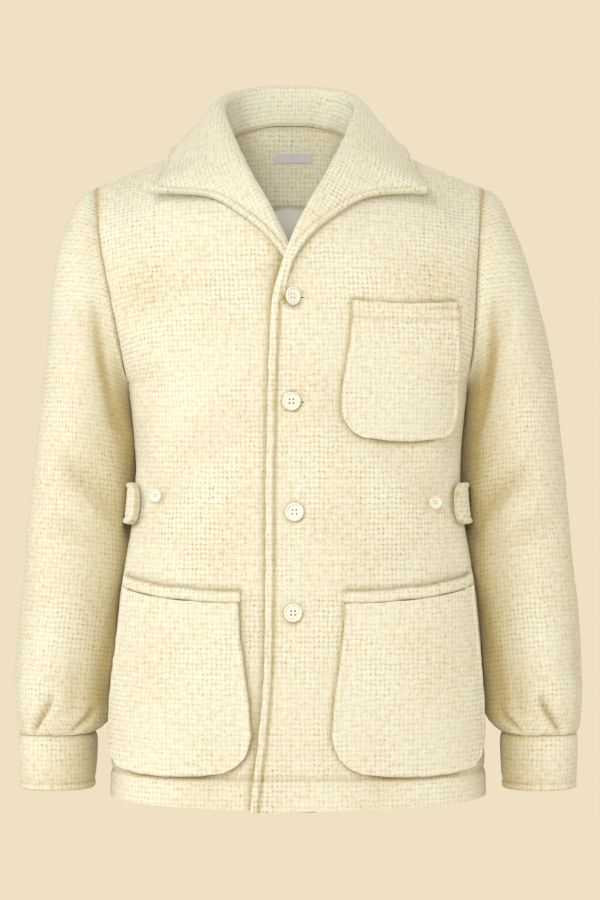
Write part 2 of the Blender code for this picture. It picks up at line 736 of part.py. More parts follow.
def oval(around, outer, inner, front_depth, back_depth, power):
    """A closed ring through an outer and an inner point, with its own depth front and back."""
    c, s = np.cos(around), np.sin(around)
    c = np.sign(c) * np.abs(c) ** (2 / power)
    s = np.sign(s) * np.abs(s) ** (2 / power)
    depth = np.where(s > 0, -front_depth, back_depth) * np.abs(s)
    ring = (outer + inner) / 2 + (outer - inner) / 2 * c[:, None]
    ring[:, 1] += depth
    return ring


def fold_depth(ring, around, girth):
    """How far the soft folds press the sleeve in, from the tabled runs of their bottoms."""
    depth = np.zeros(np.broadcast(ring, around).shape)
    for ring_a, angle_a, ring_b, angle_b, width, deep in SLEEVE_FOLDS:
        run = np.array([ring_b - ring_a, angle_b - angle_a])
        scale = np.array([35.0, girth / (2 * math.pi)])
        to = np.stack(np.broadcast_arrays(ring - ring_a, around - angle_a), axis=-1) * scale
        line = run * scale
        share = np.clip((to @ line) / (line @ line), 0, 1)
        away = np.linalg.norm(to - share[..., None] * line, axis=-1)
        fade = np.sin(math.pi * (0.12 + 0.88 * share)) ** 0.5
        depth += deep * fade * np.exp(-((away / width) ** 2))
    return depth


def sleeve_grid(rings, columns, body, added):
    """The sleeve's outer skin: ovals fanning from the armhole down to the cuff, pushed clear of
    the body beside it and of what lies on the body, and pressed in by the folds."""
    table = np.array(SLEEVE, float)
    around = np.linspace(0, 2 * math.pi, columns, endpoint=False)
    rows = smooth(np.arange(len(table)), table, rings)
    grid = np.stack(
        [
            oval(
                around,
                np.array([ox + GAP, top, oz]),
                np.array([ix + GAP, low, iz]),
                ahead,
                behind,
                2.0 + 0.25 * min(ring / 4.0, 1.0),
            )
            for ring, (ox, oz, ix, iz, top, low, ahead, behind) in zip(rings, rows)
        ]
    )
    inner_side = step(-np.cos(around) * 1.4 + 0.15)[None, :] * step(rings / 0.9)[:, None]
    grid = stand_off(grid, *body, SLEEVE_CLEAR, inner_side)
    for skin in added:
        grid = stand_off(grid, *skin, ADDED_CLEAR, inner_side, ADDED_REACH)
    facing = normals(grid, wrap=True)
    inward = grid[0].mean(axis=0) - grid[0]
    along = unit(np.array(SHOULDER_TIP) - np.array(ARMPIT))
    inward = inward * [0, 1, 0] + dot(inward, along) * along
    facing[0] = -unit(inward)
    level = facing[-1] * [1, 1, 0]
    facing[-1] = unit(level)
    folds = fold_depth(np.asarray(rings)[:, None], around[None, :], 380.0)
    folds[0] = 0
    return grid - folds[..., None] * facing, facing


SLEEVE_RINGS = np.array(
    [0, 0.5, 1, 2, 3, 4, 5, 6, 7, 7.4, 7.8, 8.3, 8.7, 9.2, 10, 11, 12, 13, 13.7, 14.4, 15]
)
SLEEVE_COLUMNS = 20


def sleeve(name, side, body, added):
    grid, facing = sleeve_grid(SLEEVE_RINGS, SLEEVE_COLUMNS, body, added)
    wall(name, grid, grid - CLOTH * facing, TWEED, side, wrap=True)


def cuff(name, side):
    around = np.linspace(0, 2 * math.pi, SLEEVE_COLUMNS, endpoint=False)
    rings = []
    for z, outer_x, inner_x, ahead, behind, _ in CUFF:
        outer, inner = np.array([outer_x, CUFF_Y, z]), np.array([inner_x, CUFF_Y, z])
        rings.append(oval(around, outer, inner, ahead, behind, 2.25))
    grid = np.stack(rings)
    facing = normals(grid, wrap=True) * [1, 1, 0]
    facing = unit(facing)
    raised = np.array([row[5] for row in CUFF])[:, None, None]
    wall(name, grid + raised * facing, grid - CLOTH * facing, TWEED, side, wrap=True)


# ---------------------------------------------------------------- pockets and tabs


def mouth_height(shape, across):
    """Height of a pocket's top edge, which rises towards its outer end."""
    return shape[2] + shape[11] * across**2


def pocket_grid(panel, shape, columns, rows):
    """Skins of a patch pocket laid on a front: slanting sides, a sagging foot with round corners,
    a rolled edge with a stitched ditch inside it, and a mouth that stands off the cloth."""
    _, _, _, foot, inner_top, inner_low, outer_top, outer_low, corner, gape, sag, _ = shape
    down = np.asarray(rows)[:, None]
    across = np.asarray(columns)[None, :]
    top = mouth_height(shape, across)
    height = top - foot
    below = np.minimum((1 - down) * height, corner)
    inset = corner - np.sqrt(np.maximum(corner**2 - (corner - below) ** 2, 0))
    slant = step(down * SLANT_RUN)
    inner_q = inner_top + (inner_low - inner_top) * slant + inset
    outer_q = outer_top + (outer_low - outer_top) * slant - inset
    q = inner_q + (outer_q - inner_q) * across
    z = top - height * down - sag * 4 * across * (1 - across) * down**3
    points, facing = panel.at(q, z)
    edge = np.minimum(np.minimum(q - inner_q, outer_q - q) + 0.35 * inset, (1 - down) * height)
    roll = POCKET_RISE * step(edge / 4.0) - 1.2 * np.exp(-(((edge - 8.0) / 2.0) ** 2))
    middle = 4 * across * (1 - across)
    lift = POCKET_STAND + gape * middle * step(1 - down * 2.2)
    puff = 1.6 * middle * np.sin(math.pi * np.clip(down, 0, 1))
    outer = points + (lift + CLOTH + roll + puff)[..., None] * facing
    return outer, points + lift[..., None] * facing, facing


POCKET_COLUMNS = np.array([0, 0.025, 0.055, 0.25, 0.45, 0.62, 0.76, 0.87, 0.945, 0.975, 1])
POCKET_ROWS = np.array([0, 0.16, 0.34, 0.52, 0.68, 0.8, 0.88, 0.94, 0.975, 1])


def band_grid(panel, shape, columns, rows):
    """The band along a lower pocket's mouth, a little proud of the pocket, with a round section."""
    _, _, _, _, inner_q, _, outer_q, _, _, gape, _, _ = shape
    across = np.asarray(columns)[None, :]
    down = np.asarray(rows)[:, None]
    q = inner_q - 1 + (outer_q - inner_q + 1) * across + 0 * down
    z = mouth_height(shape, across) + GAP + MOUTH_BAND * (1 - down)
    points, facing = panel.at(q, z)
    lift = POCKET_STAND + gape * 4 * across * (1 - across) + 0 * down
    crown = 2.6 * (1 - (2 * down - 1) ** 4) * (1 - 0.7 * step((across - 0.7) / 0.3))
    outer = points + (lift + CLOTH + crown)[..., None] * facing
    return outer, points + lift[..., None] * facing, facing


BAND_COLUMNS = np.linspace(0, 1, 10)
BAND_ROWS = np.array([0, 0.25, 0.75, 1.0])


def tab_grid(panel, columns, rows):
    """Skins of a side tab: a strap from the side seam forward over the front, standing off it,
    its end rounded."""
    along = TAB_LENGTH * np.asarray(columns)[None, :]
    share = np.clip((along - TAB_LENGTH + TAB_END) / TAB_END, 0, 1)
    half = TAB_HALF_HEIGHT * (1 - 0.985 * share**2.6) ** (1 / 2.6)
    z = TAB_Z + half * np.asarray(rows)[:, None]
    q = panel.side(TAB_Z) - 1.0 - along + 0 * z
    points, facing = panel.at(q, z)
    lifts = np.array(TAB_LIFT, float)
    lift = smooth(lifts[:, 0], lifts[:, 1], along) + 0 * z
    crown = 0.9 * step(np.minimum(half - np.abs(z - TAB_Z), 5.0) / 5.0)
    outer = points + (lift + TAB_CLOTH + crown)[..., None] * facing
    return outer, points + lift[..., None] * facing, facing


TAB_COLUMNS = np.array([0, 0.2, 0.42, 0.62, 0.78, 0.88, 0.95, 1.0])
TAB_ROWS = np.array([1.0, 0.75, 0.3, -0.3, -0.75, -1.0])


# ---------------------------------------------------------------- buttons


BUTTON_FACE = 0.72
BUTTON_WIDEST = 0.6
BUTTON_SIDES = 16
HOLE_SIDES = 6


def button(name, size, place, facing, turn=0.0):
    """A turned disc with a raised rim, and four holes cut through it."""
    radius = size["diameter"] / 2 * MM
    thick = size["thickness"] * MM
    rim = size["rim"] * MM
    face, widest = BUTTON_FACE * thick, BUTTON_WIDEST * thick
    profile = [
        (0.0, face),
        (radius - 2.0 * rim, face),
        (radius - 0.8 * rim, thick),
        (radius, widest),
        (radius - 0.9 * rim, 0.0),
        (0.0, 0.0),
    ]
    mesh = bpy.data.meshes.new(name)
    edges = [(k, k + 1) for k in range(len(profile) - 1)]
    mesh.from_pydata([(x, 0, z) for x, z in profile], edges, [])
    piece = add_object(name, mesh, BUTTON_FINISH, 30.0)
    screw = piece.modifiers.new("turn", "SCREW")
    screw.steps = screw.render_steps = BUTTON_SIDES
    screw.use_merge_vertices = True
    screw.merge_threshold = 0.00001
    cutters_mesh = bmesh.new()
    spread = size["hole_spread"] * MM
    for k in range(4):
        corner = Vector((spread * math.cos(math.pi * (k + 0.5) / 2),
                         spread * math.sin(math.pi * (k + 0.5) / 2), thick / 2))
        bmesh.ops.create_cone(
            cutters_mesh, cap_ends=True, segments=HOLE_SIDES, radius1=size["holes"] / 2 * MM,
            radius2=size["holes"] / 2 * MM, depth=3 * thick, matrix=Matrix.Translation(corner),
        )
    cutter_mesh = bpy.data.meshes.new(name + "_holes")
    cutters_mesh.to_mesh(cutter_mesh)
    cutters_mesh.free()
    cutter = bpy.data.objects.new(name + "_holes", cutter_mesh)
    cutter.hide_render = True
    cutter.display_type = "WIRE"
    cutters.objects.link(cutter)
    cut = piece.modifiers.new("holes", "BOOLEAN")
    cut.object = cutter
    facing = Vector(facing)
    pose = facing.to_track_quat("Z", "Y").to_matrix().to_4x4()
    swing = Matrix.Rotation(math.radians(turn), 4, "Z")
    for item in (piece, cutter):
        item.matrix_world = Matrix.Translation(Vector(place) * MM) @ swing @ pose


def place_on(panel, side, x, z, off):
    """A point standing off a front at a given x and height, and the front's direction there."""
    q = np.array([x])
    for _ in range(12):
        point, facing = panel.at(q, np.array([z]))
        q = q + (x - point[:, 0])
    place = hang((point + off * facing) * [side, 1, 1])[0]
    return place, facing[0] * [side, 1, 1]


def buttons(panels):
    for number, (x, z, turn, off) in enumerate(FRONT_BUTTONS, start=1):
        shift = hang(np.array([[0.0, -122.0, z]]))[0, 0]
        place, facing = place_on(panels[True], 1, x - shift, z, off)
        button(f"front_button_{number}", BUTTON, place, facing, turn)
    for name, side, x, z in TAB_BUTTONS:
        place, facing = place_on(panels[side > 0], side, x, z, TAB_BUTTON_STAND)
        button(name, TAB_BUTTON, place, facing + unit(facing + [0, -1, 0]))


# ---------------------------------------------------------------- the jacket

TWEED = ("cream_tweed", (0.86, 0.78, 0.56), 0.95)
LINING = ("lining_satin", (0.79, 0.76, 0.66), 0.45)
LABEL = ("label_satin", (0.62, 0.56, 0.59), 0.5)
BUTTON_FINISH = ("button_resin", (0.90, 0.88, 0.78), 0.35)

for leftover in list(bpy.data.objects):
    bpy.data.objects.remove(leftover, do_unlink=True)
jacket = bpy.data.collections.new("tweed_jacket")
cutters = bpy.data.collections.new("cutters")
bpy.context.scene.collection.children.link(jacket)
bpy.context.scene.collection.children.link(cutters)

PANELS = {True: Panel(True), False: Panel(False)}
back_fine = back_grid(
    np.linspace(0, 4, 17), np.linspace(0.06, 1, 16), np.linspace(0, 1, 30), np.linspace(-275, HEM_Z, 25)
)
back_facing = normals(back_fine)
body = [
    np.concatenate([PANELS[True].grid[:, ::2].reshape(-1, 3), back_fine.reshape(-1, 3)]),
    np.concatenate([PANELS[True].normals[:, ::2].reshape(-1, 3), back_facing.reshape(-1, 3)]),
]

front("front_left", True)
front("front_right", False)
back()
back_inside()
neck_label(back_fine, back_facing)
collar(PANELS, (back_fine, back_facing))
added = {1: [], -1: []}
for shape in POCKETS:
    name, side = shape[:2]
    outer, inner, facing = pocket_grid(PANELS[side > 0], shape, POCKET_COLUMNS, POCKET_ROWS)
    wall(name, outer, inner, TWEED, side)
    added[side].append((outer, facing))
    if name.startswith("lower"):
        outer, inner, facing = band_grid(PANELS[side > 0], shape, BAND_COLUMNS, BAND_ROWS)
        wall(name.replace("lower_pocket", "pocket_band"), outer, inner, TWEED, side)
        added[side].append((outer, facing))
for side, word in ((1, "left"), (-1, "right")):
    outer, inner, facing = tab_grid(PANELS[side > 0], TAB_COLUMNS, TAB_ROWS)
    wall(f"side_tab_{word}", outer, inner, TWEED, side)
    added[side].append((outer, facing))
    sleeve(f"sleeve_{word}", side, body, added[side])
    cuff(f"cuff_{word}", side)
buttons(PANELS)
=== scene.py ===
"""A boxy hip-length tweed jacket, filled out as if worn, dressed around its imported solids.
The shapes are worked out in millimetres on the +X side, as the garment is cut, and become metres
when a mesh is made. +Z is up, the front looks to -Y, and the wearer's left is +X."""

import math
from collections import namedtuple

import bpy
import numpy as np
from mathutils import Matrix, Vector


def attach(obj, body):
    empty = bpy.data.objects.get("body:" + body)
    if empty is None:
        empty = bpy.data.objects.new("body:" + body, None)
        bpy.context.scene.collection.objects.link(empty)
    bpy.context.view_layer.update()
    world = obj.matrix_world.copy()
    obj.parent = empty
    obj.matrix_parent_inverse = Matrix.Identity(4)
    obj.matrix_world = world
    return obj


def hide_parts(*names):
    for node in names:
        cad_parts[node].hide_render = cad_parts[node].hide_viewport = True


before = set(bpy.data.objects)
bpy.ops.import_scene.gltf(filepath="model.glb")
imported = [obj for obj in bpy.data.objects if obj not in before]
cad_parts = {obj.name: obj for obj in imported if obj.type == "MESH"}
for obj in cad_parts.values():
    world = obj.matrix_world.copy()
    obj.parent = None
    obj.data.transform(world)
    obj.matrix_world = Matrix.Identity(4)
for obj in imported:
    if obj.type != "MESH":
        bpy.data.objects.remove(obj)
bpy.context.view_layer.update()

# ---------------------------------------------------------------- Camera, floor and light
# A long lens looks level at the middle of the jacket. The floor lies where a wearer would stand,
# and a big soft light from the upper left, a weaker one from the right and a pale sky light it.

CAMERA_AT = (0.0066, -3.0, -0.328)
FOCAL_PIXELS, FRAME_PIXELS, SENSOR = 2843.6, 900, 36.0
FLOOR_Z, FLOOR_RADIUS, FLOOR_SIDES = -1.45, 4.0, 96
FLOOR_PAINT, FLOOR_ROUGHNESS = (0.80, 0.72, 0.58, 1), 0.9
BACKDROP = (0.871, 0.753, 0.552)
AMBIENT = (0.385, 0.32, 0.222)
SOFT_LIGHTS = [
    # name, place, watts, width, colour
    ("key_light", (-1.1, -2.9, 1.1), 38.0, 1.2, (0.99, 0.995, 0.98)),
    ("front_light", (0.0, -3.3, 0.05), 38.0, 0.8, (0.99, 0.995, 0.98)),
    ("left_light", (-3.0, -0.5, 0.5), 30.0, 1.6, (0.97, 0.98, 1.0)),
    ("right_light", (3.0, -0.4, 0.4), 20.0, 1.6, (0.97, 0.98, 1.0)),
    ("back_light", (0.8, 2.6, 1.2), 48.0, 2.2, (1.0, 0.98, 0.93)),
]
LIT_POINT = (0.0, 0.0, -0.3)


def camera():
    """Looks level along +Y. Its focal length is its length in pixels times the sensor's share."""
    lens = bpy.data.cameras.new("camera")
    lens.sensor_fit, lens.sensor_height = "VERTICAL", SENSOR
    lens.lens = SENSOR * FOCAL_PIXELS / FRAME_PIXELS
    made = bpy.data.objects.new("camera", lens)
    made.location, made.rotation_euler = CAMERA_AT, (math.pi / 2, 0, 0)
    bpy.context.scene.collection.objects.link(made)
    bpy.context.scene.camera = made


def floor():
    """A flat disc of pale matt paint."""
    around = np.linspace(0, 2 * math.pi, FLOOR_SIDES, endpoint=False)
    ring = np.stack([np.cos(around), np.sin(around), 0 * around], axis=-1) * FLOOR_RADIUS
    mesh = bpy.data.meshes.new("floor")
    mesh.from_pydata((ring + [0, 0, FLOOR_Z]).tolist(), [], [list(range(len(ring)))])
    paint = bpy.data.materials.new("floor_paint")
    paint.use_nodes = True
    shader = paint.node_tree.nodes["Principled BSDF"]
    shader.inputs["Base Color"].default_value = FLOOR_PAINT
    shader.inputs["Roughness"].default_value = FLOOR_ROUGHNESS
    mesh.materials.append(paint)
    made = bpy.data.objects.new("floor", mesh)
    bpy.context.scene.collection.objects.link(made)


def lights():
    """Square lamps turned to one point, and a pale sky. The sky's soft light and the backdrop that
    the camera sees are two backgrounds, mixed by whether a ray comes from the camera."""
    for name, place, watts, width, colour in SOFT_LIGHTS:
        lamp = bpy.data.lights.new(name, "AREA")
        lamp.energy, lamp.size, lamp.color = watts, width, colour
        made = bpy.data.objects.new(name, lamp)
        made.location = place
        made.rotation_euler = (Vector(LIT_POINT) - Vector(place)).to_track_quat("-Z", "Y").to_euler()
        bpy.context.scene.collection.objects.link(made)
    sky = bpy.data.worlds.new("pale_sky")
    sky.use_nodes = True
    nodes, links = sky.node_tree.nodes, sky.node_tree.links
    seen = nodes["Background"]
    path = nodes.new("ShaderNodeLightPath")
    mix = nodes.new("ShaderNodeMixShader")
    soft = nodes.new("ShaderNodeBackground")
    soft.inputs["Color"].default_value = (*AMBIENT, 1)
    seen.inputs["Color"].default_value = (*BACKDROP, 1)
    links.new(path.outputs["Is Camera Ray"], mix.inputs[0])
    links.new(soft.outputs[0], mix.inputs[1])
    links.new(seen.outputs[0], mix.inputs[2])
    links.new(mix.outputs[0], nodes["World Output"].inputs["Surface"])
    bpy.context.scene.world = sky
    bpy.context.scene.view_settings.view_transform = "Standard"


camera()
floor()
lights()

# ---------------------------------------------------------------- Fronts
# The two fronts, of thick tweed woven from pairs of soft looped yarn. The left one laps over the
# right, its edge is turned in and stitched down in a round ridge, and the hem is turned up.

MM = 0.001
CLOTH, FACING_CLOTH, LAPEL_END_CLOTH = 3.0, 1.5, 3.0
GAP, NECK_GAP = 0.3, 0.5

SHOULDER_TIP = (204.0, 0.0, -52.0)
ARMPIT = (178.5, -6.0, -258.0)
ARMHOLE_FRONT, ARMHOLE_BACK = 50.0, 58.0
HEM_Z, HEM_TURN, HEM_RAISE, HEM_SIDE_LIFT, HEM_CORNER = -695.0, 34.0, 0.8, 7.0, 55.0
HEM_EASE, HEM_DITCH, HEM_STITCH = 5.0, 1.9, 3.0
SECTION_POWER, STRAIGHT_TO = 2.4, 0.35

LEAN_TOP, LEAN_LOW, TURN_LOW = -4.7, 5.3, 0.043
LEAN_FROM_Z, LEAN_RUN = -90.0, 150.0

COLLAR_STATIONS = [
    # station, roll x, y, z, edge x, y, z, radius, stand, flare, mitre
    (0, 0, 80, 66, 0, 99, -23, 7.0, 36, 0.30, 0.20),
    (1, 31, 77, 65, 53, 95, -24, 7.0, 36, 0.32, 0.22),
    (2, 53, 62, 59, 88, 73, -26, 7.0, 35, 0.45, 0.30),
    (3, 66, 36, 50, 104, 38, -22, 7.0, 34, 0.70, 0.50),
    (4, 69, 6, 36, 119, 1, -16, 7.0, 32, 0.90, 0.55),
    (5, 63, -26, 15, 132, -42, -35, 6.6, 22, 0.70, 0.40),
    (6, 51, -56, -15, 143, -88, -62, 6.2, 9, 0.25, 0.10),
    (7, 37, -82, -45, 83, -98, -68, 5.8, 6, 0.0, 0.0),
    (8, 20, -101, -74, 46, -112, -90, 5.2, 5, 0.0, 0.0),
    (9, 5, -113, -105, 22, -119, -111, 4.8, 4, 0.0, 0.0),
    (10, -6, -118.5, -131, 5, -122, -133, 4.3, 2, 0.0, 0.0),
    (11, -19.5, -120.8, -172, -9.5, -122, -173, 3.8, 0.5, 0.0, 0.0),
]
TIP_STATION, SHOULDER_STATION, LAPEL_STATION = 6, 4, 5.0
NECK_ENDS = {
    # laps over: last station of the neck edge, height where the front edge starts
    True: (11, -176.0),
    False: (10, -136.0),
}
TUCK = {True: 0.0, False: 12.0}
TUCK_FROM, TUCK_RUN, SLOPE_STEP = 6.5, 3.0, 0.05
UNDER_SETBACK, SETBACK_Z, SETBACK_RUN = 5.0, -176.0, 40.0

FRONT_EDGE = [
    # z, over edge x, under edge x, centre y
    (-131, -6, -5, -117),
    (-150, -13, -13, -118.5),
    (-176, -20.3, -20, -120),
    (-195, -22.3, -22, -121),
    (-247, -25.8, -22, -123),
    (-300, -27.2, -22, -121.5),
    (-348, -28.3, -22, -119),
    (-420, -28.6, -22, -120),
    (-480, -28.8, -22, -122),
    (-561, -30.8, -22, -124.5),
    (-622, -35.9, -22, -126),
    (-672, -41.9, -22, -127),
    (-695, -44.4, -22, -127.5),
]
SIDE_SEAM = [
    # z, half-width
    (-258, 178.5),
    (-291, 174.6),
    (-331, 171.2),
    (-360, 170.5),
    (-385, 172.0),
    (-411, 175.4),
    (-442, 180.9),
    (-486, 187.5),
    (-540, 192.5),
    (-592, 195.2),
    (-648, 195.6),
    (-695, 196.4),
]


def smooth(knots, values, at):
    """Cubic Hermite curve through the values, each slope taken from the knots on both sides."""
    knots = np.asarray(knots, float)
    values = np.asarray(values, float)
    at = np.clip(np.asarray(at, float), knots[0], knots[-1])
    slopes = np.gradient(values, knots, axis=0)
    i = np.clip(np.searchsorted(knots, at, side="right") - 1, 0, len(knots) - 2)
    run = knots[i + 1] - knots[i]
    f = (at - knots[i]) / run
    if values.ndim > 1:
        f, run = f[..., None], run[..., None]
    start = (2 * f**3 - 3 * f**2 + 1) * values[i] + (f**3 - 2 * f**2 + f) * run * slopes[i]
    end = (3 * f**2 - 2 * f**3) * values[i + 1] + (f**3 - f**2) * run * slopes[i + 1]
    return start + end


def column(table, key, value):
    """Smooth curve through one column of a table whose rows run downwards in z."""
    rows = np.array(table, float)[::-1]
    return lambda at: smooth(rows[:, key], rows[:, value], at)


def step(x):
    """Smooth step from 0 to 1 as x goes from 0 to 1: 3 x squared less 2 x cubed."""
    x = np.clip(x, 0.0, 1.0)
    return x * x * (3 - 2 * x)


def unit(v):
    """Vectors divided by their lengths."""
    return v / np.maximum(np.linalg.norm(v, axis=-1, keepdims=True), 1e-9)


def dot(a, b):
    """Scalar products, kept as columns."""
    return (a * b).sum(axis=-1, keepdims=True)


def lengths(points):
    """Distance along each row of points: the running sum of its steps."""
    steps = np.linalg.norm(np.diff(points, axis=-2), axis=-1)
    return np.concatenate([np.zeros_like(steps[..., :1]), np.cumsum(steps, axis=-1)], axis=-1)


def normals(grid, wrap=False):
    """Unit normals of a grid of rows and columns: the column step crossed with the row step."""
    if wrap:
        along = np.roll(grid, -1, axis=1) - np.roll(grid, 1, axis=1)
    else:
        along = np.gradient(grid, axis=1)
    return unit(np.cross(along, np.gradient(grid, axis=0)))


def hang(points):
    """Points shifted sideways by the lean of the top and the turn of the lower part."""
    low = step((LEAN_FROM_Z - points[..., 2]) / LEAN_RUN)
    shift = LEAN_TOP + (LEAN_LOW - LEAN_TOP) * low + TURN_LOW * low * points[..., 1]
    return points + np.stack([shift, 0 * shift, 0 * shift], axis=-1)


def bell(distance, width):
    """A soft bell: e to the power of minus the square of the distance over the width."""
    return np.exp(-((distance / width) ** 2))


RIM_SHARE, TOP_SHARE, FALL_SHARE, STITCH_WIDTH = 0.32, 0.62, 0.6, 1.35


def shade_bell(seam, distance):
    """How much shade is painted beside a seam or an edge: a bell of the seam's own height and width."""
    much, width = seam
    return much * bell(distance, width)


def rolled_edge(distance, width, height, rim, ditch):
    """The relief of an edge turned in and stitched down: a quarter ellipse up from the rim, a flat
    top that eases down to the cloth, and a narrow bell-shaped ditch where the stitches pull."""
    across = np.clip(distance / (RIM_SHARE * width), 0, 1)
    rise = rim + (height - rim) * np.sqrt(np.maximum(1 - (1 - across) ** 2, 0))
    fall = height * step((distance - TOP_SHARE * width) / (FALL_SHARE * width))
    return rise - fall - ditch * bell(distance - width, STITCH_WIDTH)


def collar_lines(stations, tuck=0.0):
    """The collar's roll, edge and frame at each station, and the seam at the foot of its stand:
    the fall runs from roll to edge, square to the roll, and the stand drops behind the roll."""
    table = np.array(COLLAR_STATIONS, float)
    at = np.asarray(stations, float)
    upper, lower = table[: TIP_STATION + 1], table[TIP_STATION:]

    def roll_at(place):
        """The roll's points, without the tuck."""
        return smooth(table[:, 0], table[:, 1:4], place)

    edge = np.where(
        (at <= TIP_STATION)[:, None],
        smooth(upper[:, 0], upper[:, 4:7], at),
        smooth(lower[:, 0], lower[:, 4:7], at),
    )
    radius, stand, flare, mitre = smooth(table[:, 0], table[:, 7:11], at).T[:, :, None]
    behind = tuck * step((at - TUCK_FROM) / TUCK_RUN)[:, None] * [0, 1, 0]
    roll, edge = roll_at(at) + behind, edge + behind
    along = unit(roll_at(at + SLOPE_STEP) - roll_at(at - SLOPE_STEP))
    along[at == 0] = (1, 0, 0)
    fall = unit((edge - roll) - dot(edge - roll, along) * along)
    out = np.cross(-fall, along)
    down = unit(fall - flare * out)
    side = unit(out + flare * fall)
    foot = roll + radius * (fall - out) + stand * down
    return dict(
        roll=roll, edge=edge, radius=radius, fall=fall, out=out, foot=foot,
        seam=side - mitre * down, below=unit(down + mitre * side),
    )


def neck_edge(stations, tuck=0.0):
    """The panels' edge along the neck seam, and the direction their thickness takes there: the
    seam at the stand's foot, moved out by the cloths that lie between them."""
    lines = collar_lines(stations, tuck)
    lapel = step(np.asarray(stations, float) - LAPEL_STATION)[:, None]
    depth = (CLOTH + GAP + FACING_CLOTH) * (1 - lapel) + LAPEL_END_CLOTH * lapel
    return lines["foot"] + depth * lines["seam"] + NECK_GAP * lines["below"], lines["seam"]


def armhole(angle, depth):
    """The armhole, a flat oval from the shoulder tip (0) to its bottom (pi), on one side."""
    top, bottom = np.array(SHOULDER_TIP), np.array(ARMPIT)
    middle, half = (top + bottom) / 2, (top - bottom) / 2
    angle = np.asarray(angle, float)[..., None]
    return middle + half * np.cos(angle) + np.array([0, 1, 0]) * depth * np.sin(angle)


def armhole_by_share(share, depth):
    """Points at given shares of the armhole's length, from the shoulder tip down."""
    angle = np.linspace(0, math.pi, 400)
    run = lengths(armhole(angle, depth))
    return armhole(np.interp(share, run / run[-1], angle), depth)


def section(start, end, shares, edge_steps=(), power=SECTION_POWER):
    """One row of cloth from start to end: in plan a quarter superellipse, straight past the
    centre line, and in height an even slope. Points at given distances, then at even shares."""
    centre = max(start[0], 0.0)
    angle = np.linspace(0, math.pi / 2, 300)
    x = centre + (end[0] - centre) * np.sin(angle) ** (2 / power)
    y = end[1] + (start[1] - end[1]) * np.cos(angle) ** (2 / power)
    if start[0] < centre:
        x = np.concatenate([np.linspace(start[0], centre, 12)[:-1], x])
        y = np.concatenate([np.full(11, start[1]), y])
    run = lengths(np.stack([x, y], axis=-1))
    first = edge_steps[-1] if len(edge_steps) else 0.0
    wanted = np.concatenate([edge_steps[:-1], first + (run[-1] - first) * shares])
    z = start[2] + (end[2] - start[2]) * wanted / run[-1]
    return np.stack([np.interp(wanted, run, x), np.interp(wanted, run, y), z], axis=-1)


side_width = column(SIDE_SEAM, 0, 1)


def side_seam(z):
    """The side seam, which the hem's rounded corner lifts at its foot as a parabola."""
    z = np.asarray(z, float)
    lifted = z + HEM_SIDE_LIFT * np.clip((HEM_Z + HEM_CORNER - z) / HEM_CORNER, 0, 1) ** 2
    return np.stack([side_width(z), np.full_like(z, ARMPIT[1]), lifted], axis=-1)


def front_grid(over, stations, upper_z, lower_z, shares, edge_steps=()):
    """The outer skin of a front: rows from the neck seam and front edge to armhole and side."""
    edge_x = column(FRONT_EDGE, 0, 1 if over else 2)
    edge_y = column(FRONT_EDGE, 0, 3)
    neck, _ = neck_edge(stations, TUCK[over])

    def edge(z):
        """The front edge, which on the right front lies further back."""
        z = np.asarray(z, float)
        back = UNDER_SETBACK + (TUCK[False] - UNDER_SETBACK) * step((z - SETBACK_Z) / SETBACK_RUN)
        return np.stack([edge_x(z), edge_y(z) + (0.0 if over else back), z], axis=-1)

    inner = np.concatenate([neck, edge(upper_z)])
    run = lengths(inner)
    outer = armhole_by_share(run / run[-1], -ARMHOLE_FRONT)
    inner = np.concatenate([inner, edge(lower_z)])
    outer = np.concatenate([outer, side_seam(lower_z)])
    outer[:, 0] -= GAP / 2 * (np.arange(len(outer)) < len(run))
    outer[:, 1] -= GAP / 2
    inner[0, 1] -= GAP / 2
    below = np.append(run / run[-1], np.ones(len(lower_z)))
    powers = 1 + (SECTION_POWER - 1) * step(below / STRAIGHT_TO)
    rows = zip(inner, outer, powers)
    return np.stack([section(a, b, shares, edge_steps, power) for a, b, power in rows])


PANEL_DROP, SEARCH_ROUNDS, SEARCH_STEP = 14.0, 30, 0.8


